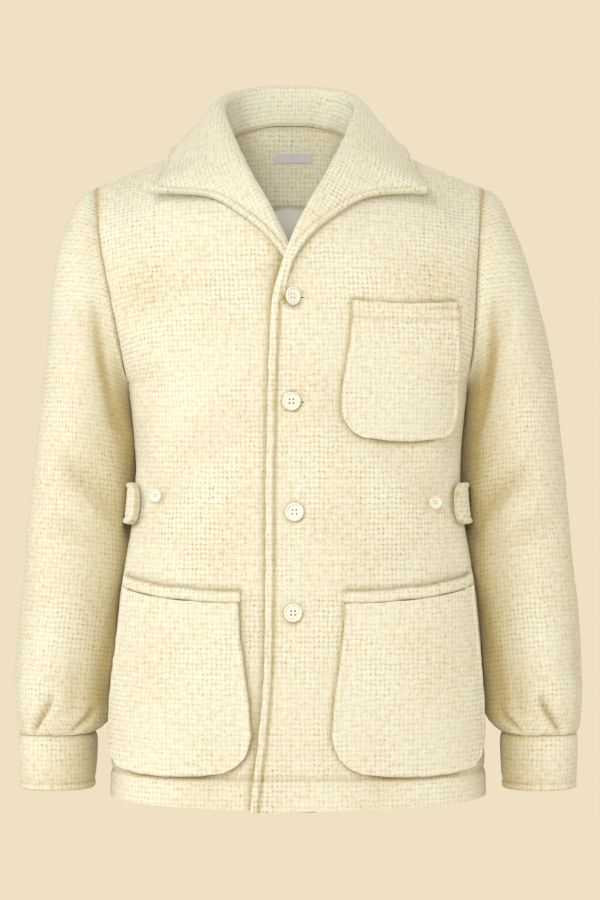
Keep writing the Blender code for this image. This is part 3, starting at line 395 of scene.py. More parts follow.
class Panel:
    """A fine grid of a front's outer skin, read by cloth distance from the centre and height."""

    def __init__(self, over):
        end, start = NECK_ENDS[over]
        stations = np.linspace(SHOULDER_STATION, end, 57)
        upper = np.linspace(start - PANEL_DROP, ARMPIT[2], 12)
        lower = np.linspace(ARMPIT[2], HEM_Z, 55)[1:]
        self.grid = front_grid(over, stations, upper, lower, np.linspace(0, 1, 81))
        self.normals = -normals(self.grid)
        self.first = self.grid[:, 0, 0]
        self.length = lengths(self.grid[..., :2])[:, -1]
        self.drop = np.gradient(self.grid[..., 2], axis=0)

    def read(self, values, i, j):
        """Bilinear reading of values at row i and column j, both in steps of the grid."""
        i0 = np.clip(i.astype(int), 0, values.shape[0] - 2)
        j0 = np.clip(j.astype(int), 0, values.shape[1] - 2)
        fi, fj = i - i0, j - j0
        if values.ndim == 3:
            fi, fj = fi[..., None], fj[..., None]
        upper = values[i0, j0] * (1 - fj) + values[i0, j0 + 1] * fj
        lower = values[i0 + 1, j0] * (1 - fj) + values[i0 + 1, j0 + 1] * fj
        return upper * (1 - fi) + lower * fi

    def at(self, q, z):
        """Points and normals at cloth distance q from the centre line and at height z. The row is
        found by rounds, each of which moves it by most of what the height is off."""
        q, z = np.broadcast_arrays(np.asarray(q, float), np.asarray(z, float))
        rows = np.arange(len(self.grid))
        i = np.interp(-z, -self.grid[:, 0, 2], rows)
        for _ in range(SEARCH_ROUNDS):
            first = np.interp(i, rows, self.first)
            length = np.interp(i, rows, self.length)
            j = np.clip((q - first) / length, 0, 1) * (self.grid.shape[1] - 1)
            off = z - self.read(self.grid[..., 2], i, j)
            i = np.clip(i + SEARCH_STEP * off / self.read(self.drop, i, j), 0, len(rows) - 1.001)
        return self.read(self.grid, i, j), unit(self.read(self.normals, i, j))

    def side(self, z):
        """Cloth distance from the centre line to the side seam at height z."""
        rows = np.arange(len(self.grid))
        i = np.interp(-np.asarray(z, float), -self.grid[:, -1, 2], rows)
        return np.interp(i, rows, self.first + self.length)


def shoulder_normal():
    """The direction square to the shoulder seam, in the plane of the front view."""
    corner, _ = neck_edge([SHOULDER_STATION])
    along = np.array(SHOULDER_TIP) - corner[0]
    return unit(np.array([-along[2], 0.0, along[0]]))


def hem_relief(z):
    """The turned hem stands a little proud below its stitch line, with a ditch along the line."""
    above = z - HEM_Z - HEM_TURN
    return HEM_RAISE * step(-above / HEM_EASE) - HEM_DITCH * bell(above, HEM_STITCH)


def cloth_pattern(across, grid, armpit_row):
    """Where each point lay on the flat cloth: across is given, and the height adds up what is left
    of each step between rows once its sideways part is taken off, from the armpit's row."""
    moved = np.diff(grid, axis=0)
    sideways = np.diff(across, axis=0)
    drops = np.sqrt(np.maximum((moved**2).sum(axis=-1) - sideways**2, 0))
    down = np.concatenate([np.zeros_like(drops[:1]), np.cumsum(drops, axis=0)])
    return np.stack([across, ARMPIT[2] + down[armpit_row] - down], axis=-1)


LATTICE = 97


def lumps(flat, spacing, seed):
    """Soft random relief from -1 to 1: random heights on a square lattice, eased between."""
    table = np.random.default_rng(seed).uniform(-1, 1, (LATTICE, LATTICE))
    place = flat / spacing
    cell = np.floor(place).astype(int)
    fx, fy = np.moveaxis(step(place - cell), -1, 0)
    i, j = np.moveaxis(cell % LATTICE, -1, 0)
    right, up = (i + 1) % LATTICE, (j + 1) % LATTICE
    lower = table[i, j] * (1 - fx) + table[right, j] * fx
    upper = table[i, up] * (1 - fx) + table[right, up] * fx
    return lower * (1 - fy) + upper * fy


def trough(to, line, width, deep, fade_from, fade_run, power):
    """One soft trough along a line: a bell across its width, faded towards its ends by a sine of
    the share along it. To is each point's place from the line's start."""
    share = np.clip((to @ line) / (line @ line), 0, 1)
    away = np.linalg.norm(to - share[..., None] * line, axis=-1)
    return deep * np.sin(math.pi * (fade_from + fade_run * share)) ** power * bell(away, width)


def creases(flat, table):
    """Soft troughs: each runs straight between two points of the cloth. A negative depth is a
    ridge."""
    depth = np.zeros(flat.shape[:-1])
    for u0, v0, u1, v1, width, deep in table:
        line = np.array([u1 - u0, v1 - v0], float)
        depth += trough(flat - [u0, v0], line, width, deep, fade_from=0.1, fade_run=0.8, power=1)
    return depth


CLOTH_SHARP = 60


def shell(
    name, outer, inner, flat, finish, node=None, side=1, wrap=False, pressed=0.0
):
    """A closed cloth shell between two skins on the same grid, for the node of its name unless
    another is given. Its UV map, in metres, is the place
    on the flat cloth, and the rims carry on from it by one thickness. Its one attribute holds
    painted shade, from 0 to 1: how far the colour is darkened to tan there, as beside a seam."""
    rows, columns = outer.shape[:2]
    mirror = np.array([side, 1, 1])
    skins = np.concatenate([outer.reshape(-1, 3), inner.reshape(-1, 3)])
    points = hang(skins * mirror) * MM
    index = np.arange(rows * columns).reshape(rows, columns)
    if wrap:
        index = np.concatenate([index, index[:, :1]], axis=1)
    below = index + rows * columns
    top, foot = flat[:1] + [0, CLOTH], flat[-1:] - [0, CLOTH]
    left, right = flat[:, :1] - [CLOTH, 0], flat[:, -1:] + [CLOTH, 0]

    def strips(a, b):
        """Quads between matching runs."""
        return np.stack([a[..., :-1], a[..., 1:], b[..., 1:], b[..., :-1]], axis=-1)

    def uv_strips(a, b):
        """The cloth coordinates of such quads."""
        return np.stack([a[..., :-1, :], a[..., 1:, :], b[..., 1:, :], b[..., :-1, :]], axis=-2)

    faces = [strips(index[:-1], index[1:]), strips(below[:-1], below[1:])[..., ::-1]]
    uvs = [uv_strips(flat[:-1], flat[1:]), uv_strips(flat[:-1], flat[1:])[..., ::-1, :]]
    faces += [strips(below[:1], index[:1]), strips(index[-1:], below[-1:])]
    uvs += [uv_strips(top, flat[:1]), uv_strips(flat[-1:], foot)]
    if not wrap:
        faces += [strips(index[:, :1].T, below[:, :1].T), strips(below[:, -1:].T, index[:, -1:].T)]
        uvs += [
            uv_strips(flat[:, :1].swapaxes(0, 1), left.swapaxes(0, 1)),
            uv_strips(right.swapaxes(0, 1), flat[:, -1:].swapaxes(0, 1)),
        ]
    faces = np.concatenate([part.reshape(-1, 4) for part in faces])
    uvs = np.concatenate([part.reshape(-1, 4, 2) for part in uvs])
    a, b, c, d = (points[faces[:, k]] for k in range(4))
    middle = (points[: rows * columns].mean(axis=0) + points[rows * columns :].mean(axis=0)) / 2
    volume = (((a + b + c + d) / 4 - middle) * np.cross(c - a, d - b)).sum()
    if volume < 0:
        faces, uvs = faces[:, ::-1], uvs[:, ::-1]
    mesh = bpy.data.meshes.new(name + "_cloth")
    mesh.from_pydata(points, [], faces)
    layer = mesh.uv_layers.new(name="cloth")
    layer.data.foreach_set("uv", (uvs * MM).ravel().astype(np.float32))
    # Painted shade: these values darken the tweed's colour towards tan in its shader.
    shade_values = np.clip(np.broadcast_to(pressed, (rows, columns)), 0, 1).ravel()
    shade_layer = mesh.attributes.new("pressed", "FLOAT", "POINT")
    shade_layer.data.foreach_set("value", np.concatenate([shade_values, shade_values]).astype(np.float32))
    mesh.materials.append(finish)
    mesh.shade_smooth()
    mesh.set_sharp_from_angle(angle=math.radians(CLOTH_SHARP))
    piece = bpy.data.objects.new(name + "_cloth", mesh)
    bpy.context.scene.collection.objects.link(piece)
    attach(piece, "root")
    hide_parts(node or name)
    return piece


class Value:
    """A number that changes over a surface: a node's output. Arithmetic on it adds Math nodes."""

    def __init__(self, finish, socket):
        self.finish, self.socket = finish, socket

    def math(self, operation, *terms):
        """Any other Math node, its terms in their order."""
        return self.finish.node("ShaderNodeMath", {"operation": operation}, dict(enumerate(terms)))

    def output(self, number):
        """Another output of the same node."""
        return Value(self.finish, self.socket.node.outputs[number])

    def __add__(self, other):
        return self.math("ADD", self, other)

    __radd__ = __add__

    def __sub__(self, other):
        return self.math("SUBTRACT", self, other)

    def __rsub__(self, other):
        return self.math("SUBTRACT", other, self)

    def __mul__(self, other):
        return self.math("MULTIPLY", self, other)

    __rmul__ = __mul__

    def __truediv__(self, other):
        return self.math("DIVIDE", self, other)


class Finish:
    """A material. node() adds any node: its type, then its settings, then its sockets' values."""

    def __init__(self, name):
        self.material = bpy.data.materials.new(name)
        self.material.use_nodes = True
        self.tree = self.material.node_tree
        self.shader = self.tree.nodes["Principled BSDF"]

    def node(self, kind, settings, values):
        """Sets the settings first. A ramp's stops are pairs of a place and a colour."""
        made = self.tree.nodes.new(kind)
        for key, value in settings.items():
            if key == "stops":
                ramp = made.color_ramp.elements
                while len(ramp) < len(value):
                    ramp.new(0.5)
                for stop, (place, colour) in zip(ramp, value):
                    stop.position, stop.color = place, (*colour, 1)
            else:
                setattr(made, key, value)
        for key, value in values.items():
            self.put(made.inputs[key], value)
        return Value(self, made.outputs[0])

    def noise(self, place, scale, detail=2.0):
        """Flat cloud noise at a place, from 0 to 1 about a half. Its output 1 is a colour."""
        values = {"Vector": place, "Scale": scale, "Detail": detail}
        return self.node("ShaderNodeTexNoise", {"noise_dimensions": "2D"}, values)

    def put(self, socket, value):
        """Links a Value to a socket, or sets the socket's own number or colour."""
        if isinstance(value, Value):
            self.tree.links.new(value.socket, socket)
        else:
            socket.default_value = value

    def look(self, **values):
        """Sets the shader's own sockets, named with _ for each space."""
        for key, value in values.items():
            self.put(self.shader.inputs[key.replace("_", " ")], value)
        return self.material


# The tan that painted shade darkens the tweed towards: in seams, in crevices and on sides turned from
# the light.
SHADE_TAN = (0.61, 0.505, 0.295, 1)
# Low stops: painted shade in the weave's gaps, over the yarn's own tone; the top stop: a painted
# highlight on the yarns.
TWEED_STOPS = [
    # height in the weave, colour
    (0.0, (0.42, 0.295, 0.095)),
    (0.26, (0.66, 0.585, 0.355)),
    (0.52, (0.765, 0.74, 0.59)),
    (0.84, (0.84, 0.85, 0.76)),
]
BEND_SCALE, LOOP_SCALE, SLUB_SCALE, FELT_SCALE, DRIFT_SCALE = 80.0, 640.0, 170.0, 16.0, 9.0
YARN_BEND, YARN_APART, YARN_RUN = 0.8, 3.7, 0.35
YARN_THIN, YARN_THICK, STRAND_DIP, YARN_SUNK = 4.2, 3.0, 0.12, 0.26
WEAVE_MIDDLE, LOOPS, SLUBS, DRIFT = 0.62, 0.55, 0.5, 0.25
CONTRAST, LIGHTNESS, WEAVE_BUMP = 1.25, 0.53, 0.0011


def tweed(name, across=4.7, down=5.2, tone=1.0):
    """Basket-like tweed: two sets of double yarns, each a parabola across, rise and sink in turn as
    the cosines of their places multiply. The higher one shows. Its colour follows the height: painted
    shade in the gaps between, over the yarn's own tone, and a painted highlight on the yarns' tops.
    Soft noise bends the yarns, thickens and thins them, roughens their loops, and felts some
    patches of the cloth so that the weave shows less there. Where the mesh's attribute is high,
    shade is painted in: the colour is darkened towards tan."""
    finish = Finish(name)
    flat = finish.node("ShaderNodeUVMap", {"uv_map": "cloth"}, {})
    bent = finish.node("ShaderNodeSeparateXYZ", {}, {0: finish.noise(flat, BEND_SCALE).output(1)})
    place = finish.node("ShaderNodeSeparateXYZ", {}, {0: flat})
    warp = place / (across * MM) + (bent - 0.5) * YARN_BEND
    weft = place.output(1) / (down * MM) + (bent.output(1) - 0.5) * YARN_BEND
    warp_row, weft_row = warp.math("ROUND", warp), weft.math("ROUND", weft)
    over = warp.math("COSINE", warp * math.pi) * weft.math("COSINE", weft * math.pi)

    def thickness(x, y):
        """Noise that is drawn out along each yarn and differs from yarn to yarn."""
        return finish.noise(finish.node("ShaderNodeCombineXYZ", {}, {0: x, 1: y}), 1.0, 1.0)

    def yarn(off, body, rise):
        """A pair of strands at a distance off its middle: a parabola, less a cosine's dip."""
        profile = off.math("MAXIMUM", 1.0 - off * off * (YARN_THIN - YARN_THICK * body), 0.0)
        strands = 1.0 - STRAND_DIP * off.math("COSINE", off * (4 * math.pi))
        return profile * strands * ((1 - YARN_SUNK) + YARN_SUNK * rise)

    warp_body = thickness(warp_row * YARN_APART, weft * YARN_RUN)
    weft_body = thickness(warp * YARN_RUN, weft_row * YARN_APART)
    warp_yarn = yarn(warp - warp_row, warp_body, over)
    weft_yarn = yarn(weft - weft_row, weft_body, 0.0 - over)
    woven = over.math("MAXIMUM", warp_yarn, weft_yarn)
    felted = finish.noise(flat, FELT_SCALE)
    clear = felted.math("SMOOTH_MIN", felted.math("MAXIMUM", (felted - 0.28) * 2.6, 0.5), 1.0)
    loops = finish.noise(flat, LOOP_SCALE, 3.0) - 0.5
    slubs = finish.noise(flat, SLUB_SCALE) - 0.5
    drift = finish.noise(flat, DRIFT_SCALE) - 0.5
    height = (woven - WEAVE_MIDDLE) * clear + loops * LOOPS + slubs * SLUBS
    shade = (height + drift * DRIFT) * CONTRAST + LIGHTNESS
    stops = [(at, [tone * part for part in colour]) for at, colour in TWEED_STOPS]
    # Colour by height in the weave: painted shade in the gaps and a painted highlight on the tops.
    colour = finish.node("ShaderNodeValToRGB", {"stops": stops}, {0: shade})
    # Painted shade: the attribute read here mixes the colour towards tan.
    pressed = finish.node("ShaderNodeAttribute", {"attribute_name": "pressed"}, {}).output(2)
    deeper = {"data_type": "RGBA", "blend_type": "MULTIPLY"}
    colour = finish.node("ShaderNodeMix", deeper, {0: pressed, 6: colour, 7: SHADE_TAN}).output(2)
    raised = {"Height": height, "Distance": WEAVE_BUMP, "Strength": 0.6}
    bump = finish.node("ShaderNodeBump", {}, raised)
    return finish.look(
        Base_Color=colour, Normal=bump, Roughness=0.92, Specular_IOR_Level=0.12,
        Sheen_Weight=0.2, Sheen_Roughness=0.6,
    )


Pocket = namedtuple(
    "Pocket",
    "name side top foot inner_top inner_low outer_top outer_low corner gape foot_sag rise band sag",
)
POCKETS = [
    # name, side, top z, foot z, inner edge at the top and low, outer edge at the top and low,
    # corner, gape of the mouth, sag of the foot, rise of the mouth outwards, band, sag of the mouth
    Pocket("lower_pocket_left", 1, -483.5, -657, 51.8, 38.5, 206, 221, 42, 3.5, 4.0, 15, 12.5, 0.0),
    Pocket("lower_pocket_right", -1, -483.5, -657, 55.2, 42, 197, 221, 42, 2.0, 4.0, 13, 12.5, 0.0),
    Pocket("chest_pocket", 1, -176, -316.5, 61, 47.5, 172, 183, 34, 1.0, 3.0, 0.0, 0.0, 3.0),
]
FRONT_BUTTONS = [
    # x, z, turn about the upright in degrees, stand-off
    (-1.5, -172.3, 28.0, 5.6),
    (-2.0, -278.5, 4.0, 1.6),
    (1.0, -390.7, -3.0, 1.6),
    (-0.5, -492.8, 5.0, 1.6),
]
SLANT_RATE, CORNER_REACH = 1.25, 0.35
# Painted shade on the fronts, as bells of tan beside seams and edges.
FRONT_SHADE = {
    # seam: how much shade is painted there, width
    "hem": (0.38, 2.8),
    "armhole": (0.85, 3.6),
    "side": (0.7, 6.0),
    "collar": (0.5, 6.5),
    "edge": (0.75, 1.9),
    "lap": (0.8, 4.4),
    "under_lap": (0.45, 13.0),
    "pocket": (0.8, 3.4),
}
# Painted shadow under each front button: a round patch of tan, full within its reach less its ease.
BUTTON_SHADE, BUTTON_REACH, BUTTON_EASE = 0.85, 12.4, 3.0
EDGE_Y, BUTTON_DROP = -122.0, 0.8
RIM_TURN = 14.0


def mouth_height(shape, across):
    """Height of a pocket's top edge, which rises towards its outer end as the square of the share
    across it, and on the chest sags in half a sine."""
    return shape.top + shape.rise * across**2 - shape.sag * np.sin(math.pi * across)


def pocket_place(shape, down, across):
    """Places on the flat front at shares down and across a patch pocket: straight sides, a sagging
    foot and round corners. Its third value is the distance to its sides and foot."""
    top = mouth_height(shape, across)
    height = top - shape.foot
    below = np.minimum((1 - down) * height, shape.corner)
    inset = shape.corner - np.sqrt(np.maximum(shape.corner**2 - (shape.corner - below) ** 2, 0))
    slant = step(down * SLANT_RATE)
    inner_q = shape.inner_top + (shape.inner_low - shape.inner_top) * slant + inset
    outer_q = shape.outer_top + (shape.outer_low - shape.outer_top) * slant - inset
    q = inner_q + (outer_q - inner_q) * across
    z = top - height * down - shape.foot_sag * 4 * across * (1 - across) * down**3
    to_side = np.minimum(q - inner_q, outer_q - q) + CORNER_REACH * inset
    return q, z, np.minimum(to_side, (1 - down) * height)


def away_from(points, line):
    """Distance from each point to the nearest point of a line."""
    return np.sqrt(((points[..., None, :] - line) ** 2).sum(axis=-1).min(axis=-1))


def lean_at(z):
    """How far the front edge is hung sideways at height z."""
    return hang(np.array([[0.0, EDGE_Y, z]]))[0, 0]


def laid_shade(side, q, z):
    """Shade painted round the pockets sewn on this front, as bells about their
    edges, and painted shadows as round patches under its buttons."""
    spot = np.stack([q, z], axis=-1)
    share = np.linspace(0, 1, 80)
    pressed = np.zeros(q.shape)
    for shape in (shape for shape in POCKETS if shape.side == side):
        edges = ((share, 0.0, 0.0), (share, 1.0, 0.0), (1.0, share, 0.0), (0.0, share, shape.band))
        for down, across, rise in edges:
            line_q, line_z, _ = np.broadcast_arrays(*pocket_place(shape, down, across))
            line = np.stack([line_q, line_z + rise], axis=-1)
            pressed = np.maximum(pressed, shade_bell(FRONT_SHADE["pocket"], away_from(spot, line)))
    if side > 0:
        for x, height, _, _ in FRONT_BUTTONS:
            apart = np.hypot(q - x + lean_at(height), z - height + BUTTON_DROP)
            near = step((BUTTON_REACH - apart) / BUTTON_EASE)
            pressed = np.maximum(pressed, BUTTON_SHADE * near)
    return pressed


def turn_rim(facing, target, distance):
    """Facing directions turned towards a target near a rim, all the way at the rim itself."""
    weight = step(1 - distance / RIM_TURN)[..., None]
    return unit(facing * (1 - weight) + target * weight)


def turn_side(facing, plan, armpit_row):
    """Directions below the armpit turned square to the side seam, which meets them along y."""
    low = facing[armpit_row:]
    to_side = plan[armpit_row:, -1:] - plan[armpit_row:]
    facing[armpit_row:] = turn_rim(low, low * [1, 0, 1], to_side)


ROW_STEP = 3.6
LOWER_FINE = np.concatenate([np.arange(-262.0, -692.0, -ROW_STEP), [-692.5, -694.0, -695.0]])
FRONT_COLUMNS = np.linspace(0, 1, 68)
FRONT_EDGE_STEPS = np.arange(0.0, 16.0, 0.9)
EDGE_WIDTH, EDGE_TOP, EDGE_LOW, EDGE_RIM, EDGE_DITCH = 9.0, 2.6, 2.1, -2.0, 1.4
EDGE_FROM, EDGE_EASE, THIN_FROM, THIN_RUN = -171.0, 4.0, -240.0, 62.0
OPENING_Z, OPENING_RUN = -140.0, 34.0
WAVER, WAVER_SPACING, WAVER_FROM, WAVER_RUN = 0.5, 9.0, -180.0, 12.0
FELT, FELT_SPACING = 0.38, 6.0
# The second value is painted shade in the creases, for each millimetre of their depth.
INSET, CREASE_SHADE = 25.0, 0.06
FRONT_CREASES = [
    # cloth u, v to u, v, half-width, depth
    (20, -250, 120, -330, 26, 1.6),
    (40, -300, 165, -372, 22, 1.8),
    (150, -262, 190, -330, 20, 2.2),
    (205, -300, 160, -360, 16, 1.8),
    (60, -455, 175, -400, 24, 1.4),
    (120, -120, 175, -190, 26, 2.0),
    (95, -140, 100, -250, 30, -1.4),
    (150, -600, 160, -690, 26, -2.0),
    (95, -610, 90, -692, 24, 1.6),
    (205, -560, 215, -690, 22, 1.6),
    (30, -560, 38, -690, 22, 1.2),
]


def front(name, over, finish):
    """A front: its formula's skin, with the edge's ridge, the hem, creases and lumps added along
    the directions of its thickness, and wavers of its edge sideways."""
    end, start = NECK_ENDS[over]
    stations = np.linspace(SHOULDER_STATION, end, 62)
    upper_z = np.append(np.arange(start, ARMPIT[2], -ROW_STEP), ARMPIT[2])
    grid = front_grid(over, stations, upper_z, LOWER_FINE, FRONT_COLUMNS, FRONT_EDGE_STEPS)
    armpit_row = len(stations) + len(upper_z) - 1
    plan = lengths(grid[..., :2])
    run = lengths(grid[:, 0])[:, None]
    facing = turn_rim(-normals(grid), shoulder_normal(), run + 0 * plan)
    _, seam = neck_edge(stations, TUCK[over])
    neck = slice(0, len(stations))
    facing[neck] = turn_rim(facing[neck], seam[:, None], plan[neck])
    turn_side(facing, plan, armpit_row)
    flat = cloth_pattern(grid[:, :1, 0] + plan, grid, armpit_row)
    q, z = flat[..., 0], grid[..., 2]
    to_side = plan[:, -1:] - plan
    inside = step(np.minimum(np.minimum(plan, to_side), run) / INSET)
    sunk = creases(flat, FRONT_CREASES) * inside + 0.7 * lumps(flat, 34.0, seed=3 + over) * inside
    relief = hem_relief(z) + FELT * lumps(flat, FELT_SPACING, seed=1)
    side = 1 if over else -1
    # Painted shade: tan round the pockets and under the buttons, along the hem's stitches, the armhole,
    # the side seam and the collar's edge, in the creases, along the ridge's ditch on the left front,
    # and on the right front beside and under the lapped edge.
    pressed = laid_shade(side, q, z) + shade_bell(FRONT_SHADE["hem"], z - HEM_Z - HEM_TURN)
    pressed += CREASE_SHADE * np.maximum(sunk, 0)
    pressed[:armpit_row] += shade_bell(FRONT_SHADE["armhole"], to_side[:armpit_row])
    pressed[armpit_row:] += shade_bell(FRONT_SHADE["side"], to_side[armpit_row:])
    collar_edge = collar_lines(np.linspace(SHOULDER_STATION, end, 70), TUCK[over])["edge"]
    pressed += shade_bell(FRONT_SHADE["collar"], away_from(grid, collar_edge))
    if over:
        height = EDGE_LOW + (EDGE_TOP - EDGE_LOW) * step((z - THIN_FROM) / THIN_RUN)
        below = step((EDGE_FROM - z) / EDGE_EASE)
        from_edge = lengths(grid)
        relief += rolled_edge(from_edge, EDGE_WIDTH, height, EDGE_RIM, EDGE_DITCH) * below
        pressed += shade_bell(FRONT_SHADE["edge"], from_edge - EDGE_WIDTH - 0.4) * below
    else:
        beside = np.maximum(grid[..., 0] + column(FRONT_EDGE, 0, 1)(z), 0)
        opening = bell(z - OPENING_Z, OPENING_RUN)
        pressed += shade_bell(FRONT_SHADE["lap"], beside) + shade_bell(FRONT_SHADE["under_lap"], beside) * opening
    waver = WAVER * lumps(flat * [0, 1], WAVER_SPACING, seed=4) * bell(plan, WAVER_SPACING)
    waver = (waver * step((WAVER_FROM - z) / WAVER_RUN))[..., None] * [1, 0, 0]
    outer = grid + (relief - sunk)[..., None] * facing + waver
    inner = grid - (CLOTH + sunk)[..., None] * facing + waver
    return shell(name, outer, inner, flat, finish, side=side, pressed=pressed)


cream = tweed("cream_tweed")
PANELS = {True: Panel(True), False: Panel(False)}
for name, over in (("front_left", True), ("front_right", False)):
    piece = front(name, over, cream)

# ---------------------------------------------------------------- Back
# One piece of the same tweed, cut on the fold, seamed to the fronts at the shoulders and sides,
# with its hem turned up in line with theirs.

BACK_CENTRE = [
    # z, depth behind the origin
    (20, 76),
    (0, 84),
    (-25, 95),
    (-60, 106),
    (-100, 113.5),
    (-150, 117),
    (-200, 116),
    (-258, 111),
    (-310, 104),
    (-360, 101),
    (-410, 102.5),
    (-470, 107.5),
    (-550, 113.5),
    (-630, 116.5),
    (-695, 117.5),
]
BACK_TOP_Z, YOKE_DEPTH, NECK_PART = 19.0, 150.0, 0.36
BACK_SHADE = {
    # seam: how much shade is painted there, width
    "hem": (0.5, 2.6),
    "armhole": (0.4, 3.0),
    "side": (0.4, 9.0),
    "neck": (0.4, 3.0),
}
back_depth = column(BACK_CENTRE, 0, 1)


def back_grid(neck_stations, shoulder_shares, upper_shares, lower_z):
    """Half of the outer skin of the back, from the centre outwards. Even rows run from the centre
    back to the armhole and the side, and their top is drawn up to the neck seam and shoulder."""
    upper_z = BACK_TOP_Z + (ARMPIT[2] - BACK_TOP_Z) * np.asarray(upper_shares)
    z = np.concatenate([upper_z, lower_z])
    inner = np.stack([0 * z, back_depth(z), z], axis=-1)
    outer = np.concatenate([armhole_by_share(upper_shares, ARMHOLE_BACK), side_seam(lower_z)])
    outer[: len(upper_z), 0] -= GAP / 2
    outer[:, 1] += GAP / 2
    shares = np.concatenate(
        [
            NECK_PART * np.asarray(neck_stations) / SHOULDER_STATION,
            NECK_PART + (1 - NECK_PART) * np.asarray(shoulder_shares),
        ]
    )
    grid = np.stack([section(a, b, shares) for a, b in zip(inner, outer)])
    neck, _ = neck_edge(neck_stations)
    neck[-1, 1] += GAP / 2
    shoulder = neck[-1] + (outer[0] - neck[-1]) * np.asarray(shoulder_shares)[:, None]
    top = np.concatenate([neck, shoulder])
    fade = np.clip(1 - (BACK_TOP_Z - upper_z) / YOKE_DEPTH, 0, 1) ** 2
    grid[: len(upper_z)] += fade[:, None, None] * (top - grid[0])[None]
    return grid


def joined(left, right):
    """A full grid of two halves whose first columns are the centre line: the left one's first
    coordinate is turned round and its columns run inwards, and the right one follows."""
    flip = np.ones(left.shape[-1])
    flip[0] = -1
    return np.concatenate([(left * flip)[:, :0:-1], right], axis=1)


def mirrored(half):
    """A full grid from a half one whose first column lies on the centre line."""
    return joined(half, half)


NECK_FINE = np.linspace(0, 4, 24)
SHOULDER_FINE = np.linspace(0, 1, 37)[1:]
UPPER_FINE = np.linspace(0, 1, 66)
BACK_CREASES = [
    # cloth u, v to u, v, half-width, depth
    (168, -252, 90, -330, 26, 2.2),
    (-166, -258, -84, -345, 24, 2.0),
    (190, -300, 120, -368, 20, 1.8),
    (-188, -310, -110, -362, 20, 2.0),
    (150, -120, 158, -235, 22, 2.0),
    (-152, -110, -160, -230, 24, 2.4),
    (60, -470, 170, -420, 26, 1.6),
    (-50, -455, -165, -425, 24, 1.3),
    (110, -560, 118, -690, 26, -2.2),
    (-120, -540, -112, -690, 28, -2.0),
    (40, -590, 44, -690, 22, 1.4),
    (-30, -570, -36, -690, 24, 1.2),
]


def back_skins():
    """Half of the back's outer skin, the directions of its thickness, turned at the seams, its
    cloth coordinates, and the distances along its rows and down its centre."""
    half = back_grid(NECK_FINE, SHOULDER_FINE, UPPER_FINE, LOWER_FINE)
    plan = lengths(half[..., :2])
    run = lengths(half[:, 0])[:, None]
    _, seam = neck_edge(NECK_FINE)
    top = np.concatenate([seam, np.broadcast_to(shoulder_normal(), (len(SHOULDER_FINE), 3))])
    facing = turn_rim(normals(half), top[None], run + 0 * plan)
    armpit_row = len(UPPER_FINE) - 1
    turn_side(facing, plan, armpit_row)
    facing[:, 0, 0] = 0
    return half, unit(facing), cloth_pattern(plan, half, armpit_row), plan, run


def back(finish):
    """The half skin and its mirror image, with the hem, creases and lumps added to it."""
    half, facing, flat, plan, run = BACK_SKINS
    grid, facing, flat = mirrored(half), mirrored(facing), mirrored(flat)
    rims = mirrored(np.stack([plan[:, -1:] - plan, run + 0 * plan], axis=-1))
    z, to_side, fallen = grid[..., 2], np.abs(rims[..., 0]), rims[..., 1]
    inside = step(np.minimum(to_side, fallen) / INSET)
    sunk = (creases(flat, BACK_CREASES) + 0.8 * lumps(flat, 38.0, seed=9)) * inside
    relief = hem_relief(z) + FELT * lumps(flat, FELT_SPACING, seed=2)
    skin = grid + (relief - sunk)[..., None] * facing
    inner = grid - (CLOTH + sunk)[..., None] * facing
    # Painted shade: tan beside the hem's stitches, the armholes, the sides and the neck, and in the
    # creases.
    pressed = shade_bell(BACK_SHADE["hem"], z - HEM_Z - HEM_TURN) + CREASE_SHADE * np.maximum(sunk, 0)
    armhole, side = shade_bell(BACK_SHADE["armhole"], to_side), shade_bell(BACK_SHADE["side"], to_side)
    pressed += np.where(z > ARMPIT[2], armhole, side) + shade_bell(BACK_SHADE["neck"], fallen)
    return shell("back", skin, inner, flat, finish, pressed=pressed)


BACK_SKINS = back_skins()
piece = back(cream)

# ---------------------------------------------------------------- Neck facing, lining and label
# Inside the back neck: a tweed facing below the collar seam, a satin lining with a pleat for ease
# at its centre under it, and a small bare satin label sewn on the facing.

FACING_FOOT, FACING_COLUMNS = 0.28, len(NECK_FINE) + 18
# All three are painted shade on the neck facing: an even tan, and bells along its top seam and its
# lower edge.
FACING_SHADE, FACING_TOP, FACING_EDGE = 0.22, (0.6, 3.0), (0.5, 2.5)
LINING_TOP, LINING_FOOT_Z, LINING_COLUMNS = 0.28, -667.0, len(NECK_FINE) + 28
LINING_GAP, LINING_CLOTH, LINING_DROP, LINING_EASE = 1.0, 1.0, 0.35, 0.8
PLEAT_X, PLEAT_DEPTH, PLEAT_WIDTH = 10.5, 2.2, 3.2
LABEL_X, LABEL_Z, LABEL_STAND, LABEL_CLOTH = (-15.7, 24.3), (-4.5, -14.3), 0.7, 0.6


def satin(name, colour, roughness, ribs):
    """Smooth satin: fine ribs, a sine across the cloth, in a soft bump, and a slight drift of tone."""
    finish = Finish(name)
    flat = finish.node("ShaderNodeUVMap", {"uv_map": "cloth"}, {})
    place = finish.node("ShaderNodeSeparateXYZ", {}, {0: flat})
    rib = place.math("SINE", place.output(1) * (2 * math.pi / (ribs * MM)))
    stops = [(0.3, [0.93 * part for part in colour]), (0.7, colour)]
    shade = finish.noise(flat, 40.0) + rib * 0.08
    tone = finish.node("ShaderNodeValToRGB", {"stops": stops}, {0: shade})
    raised = {"Height": rib, "Distance": 0.00008, "Strength": 0.5}
    relief = finish.node("ShaderNodeBump", {}, raised)
    return finish.look(Base_Color=tone, Normal=relief, Roughness=roughness, Sheen_Weight=0.1)


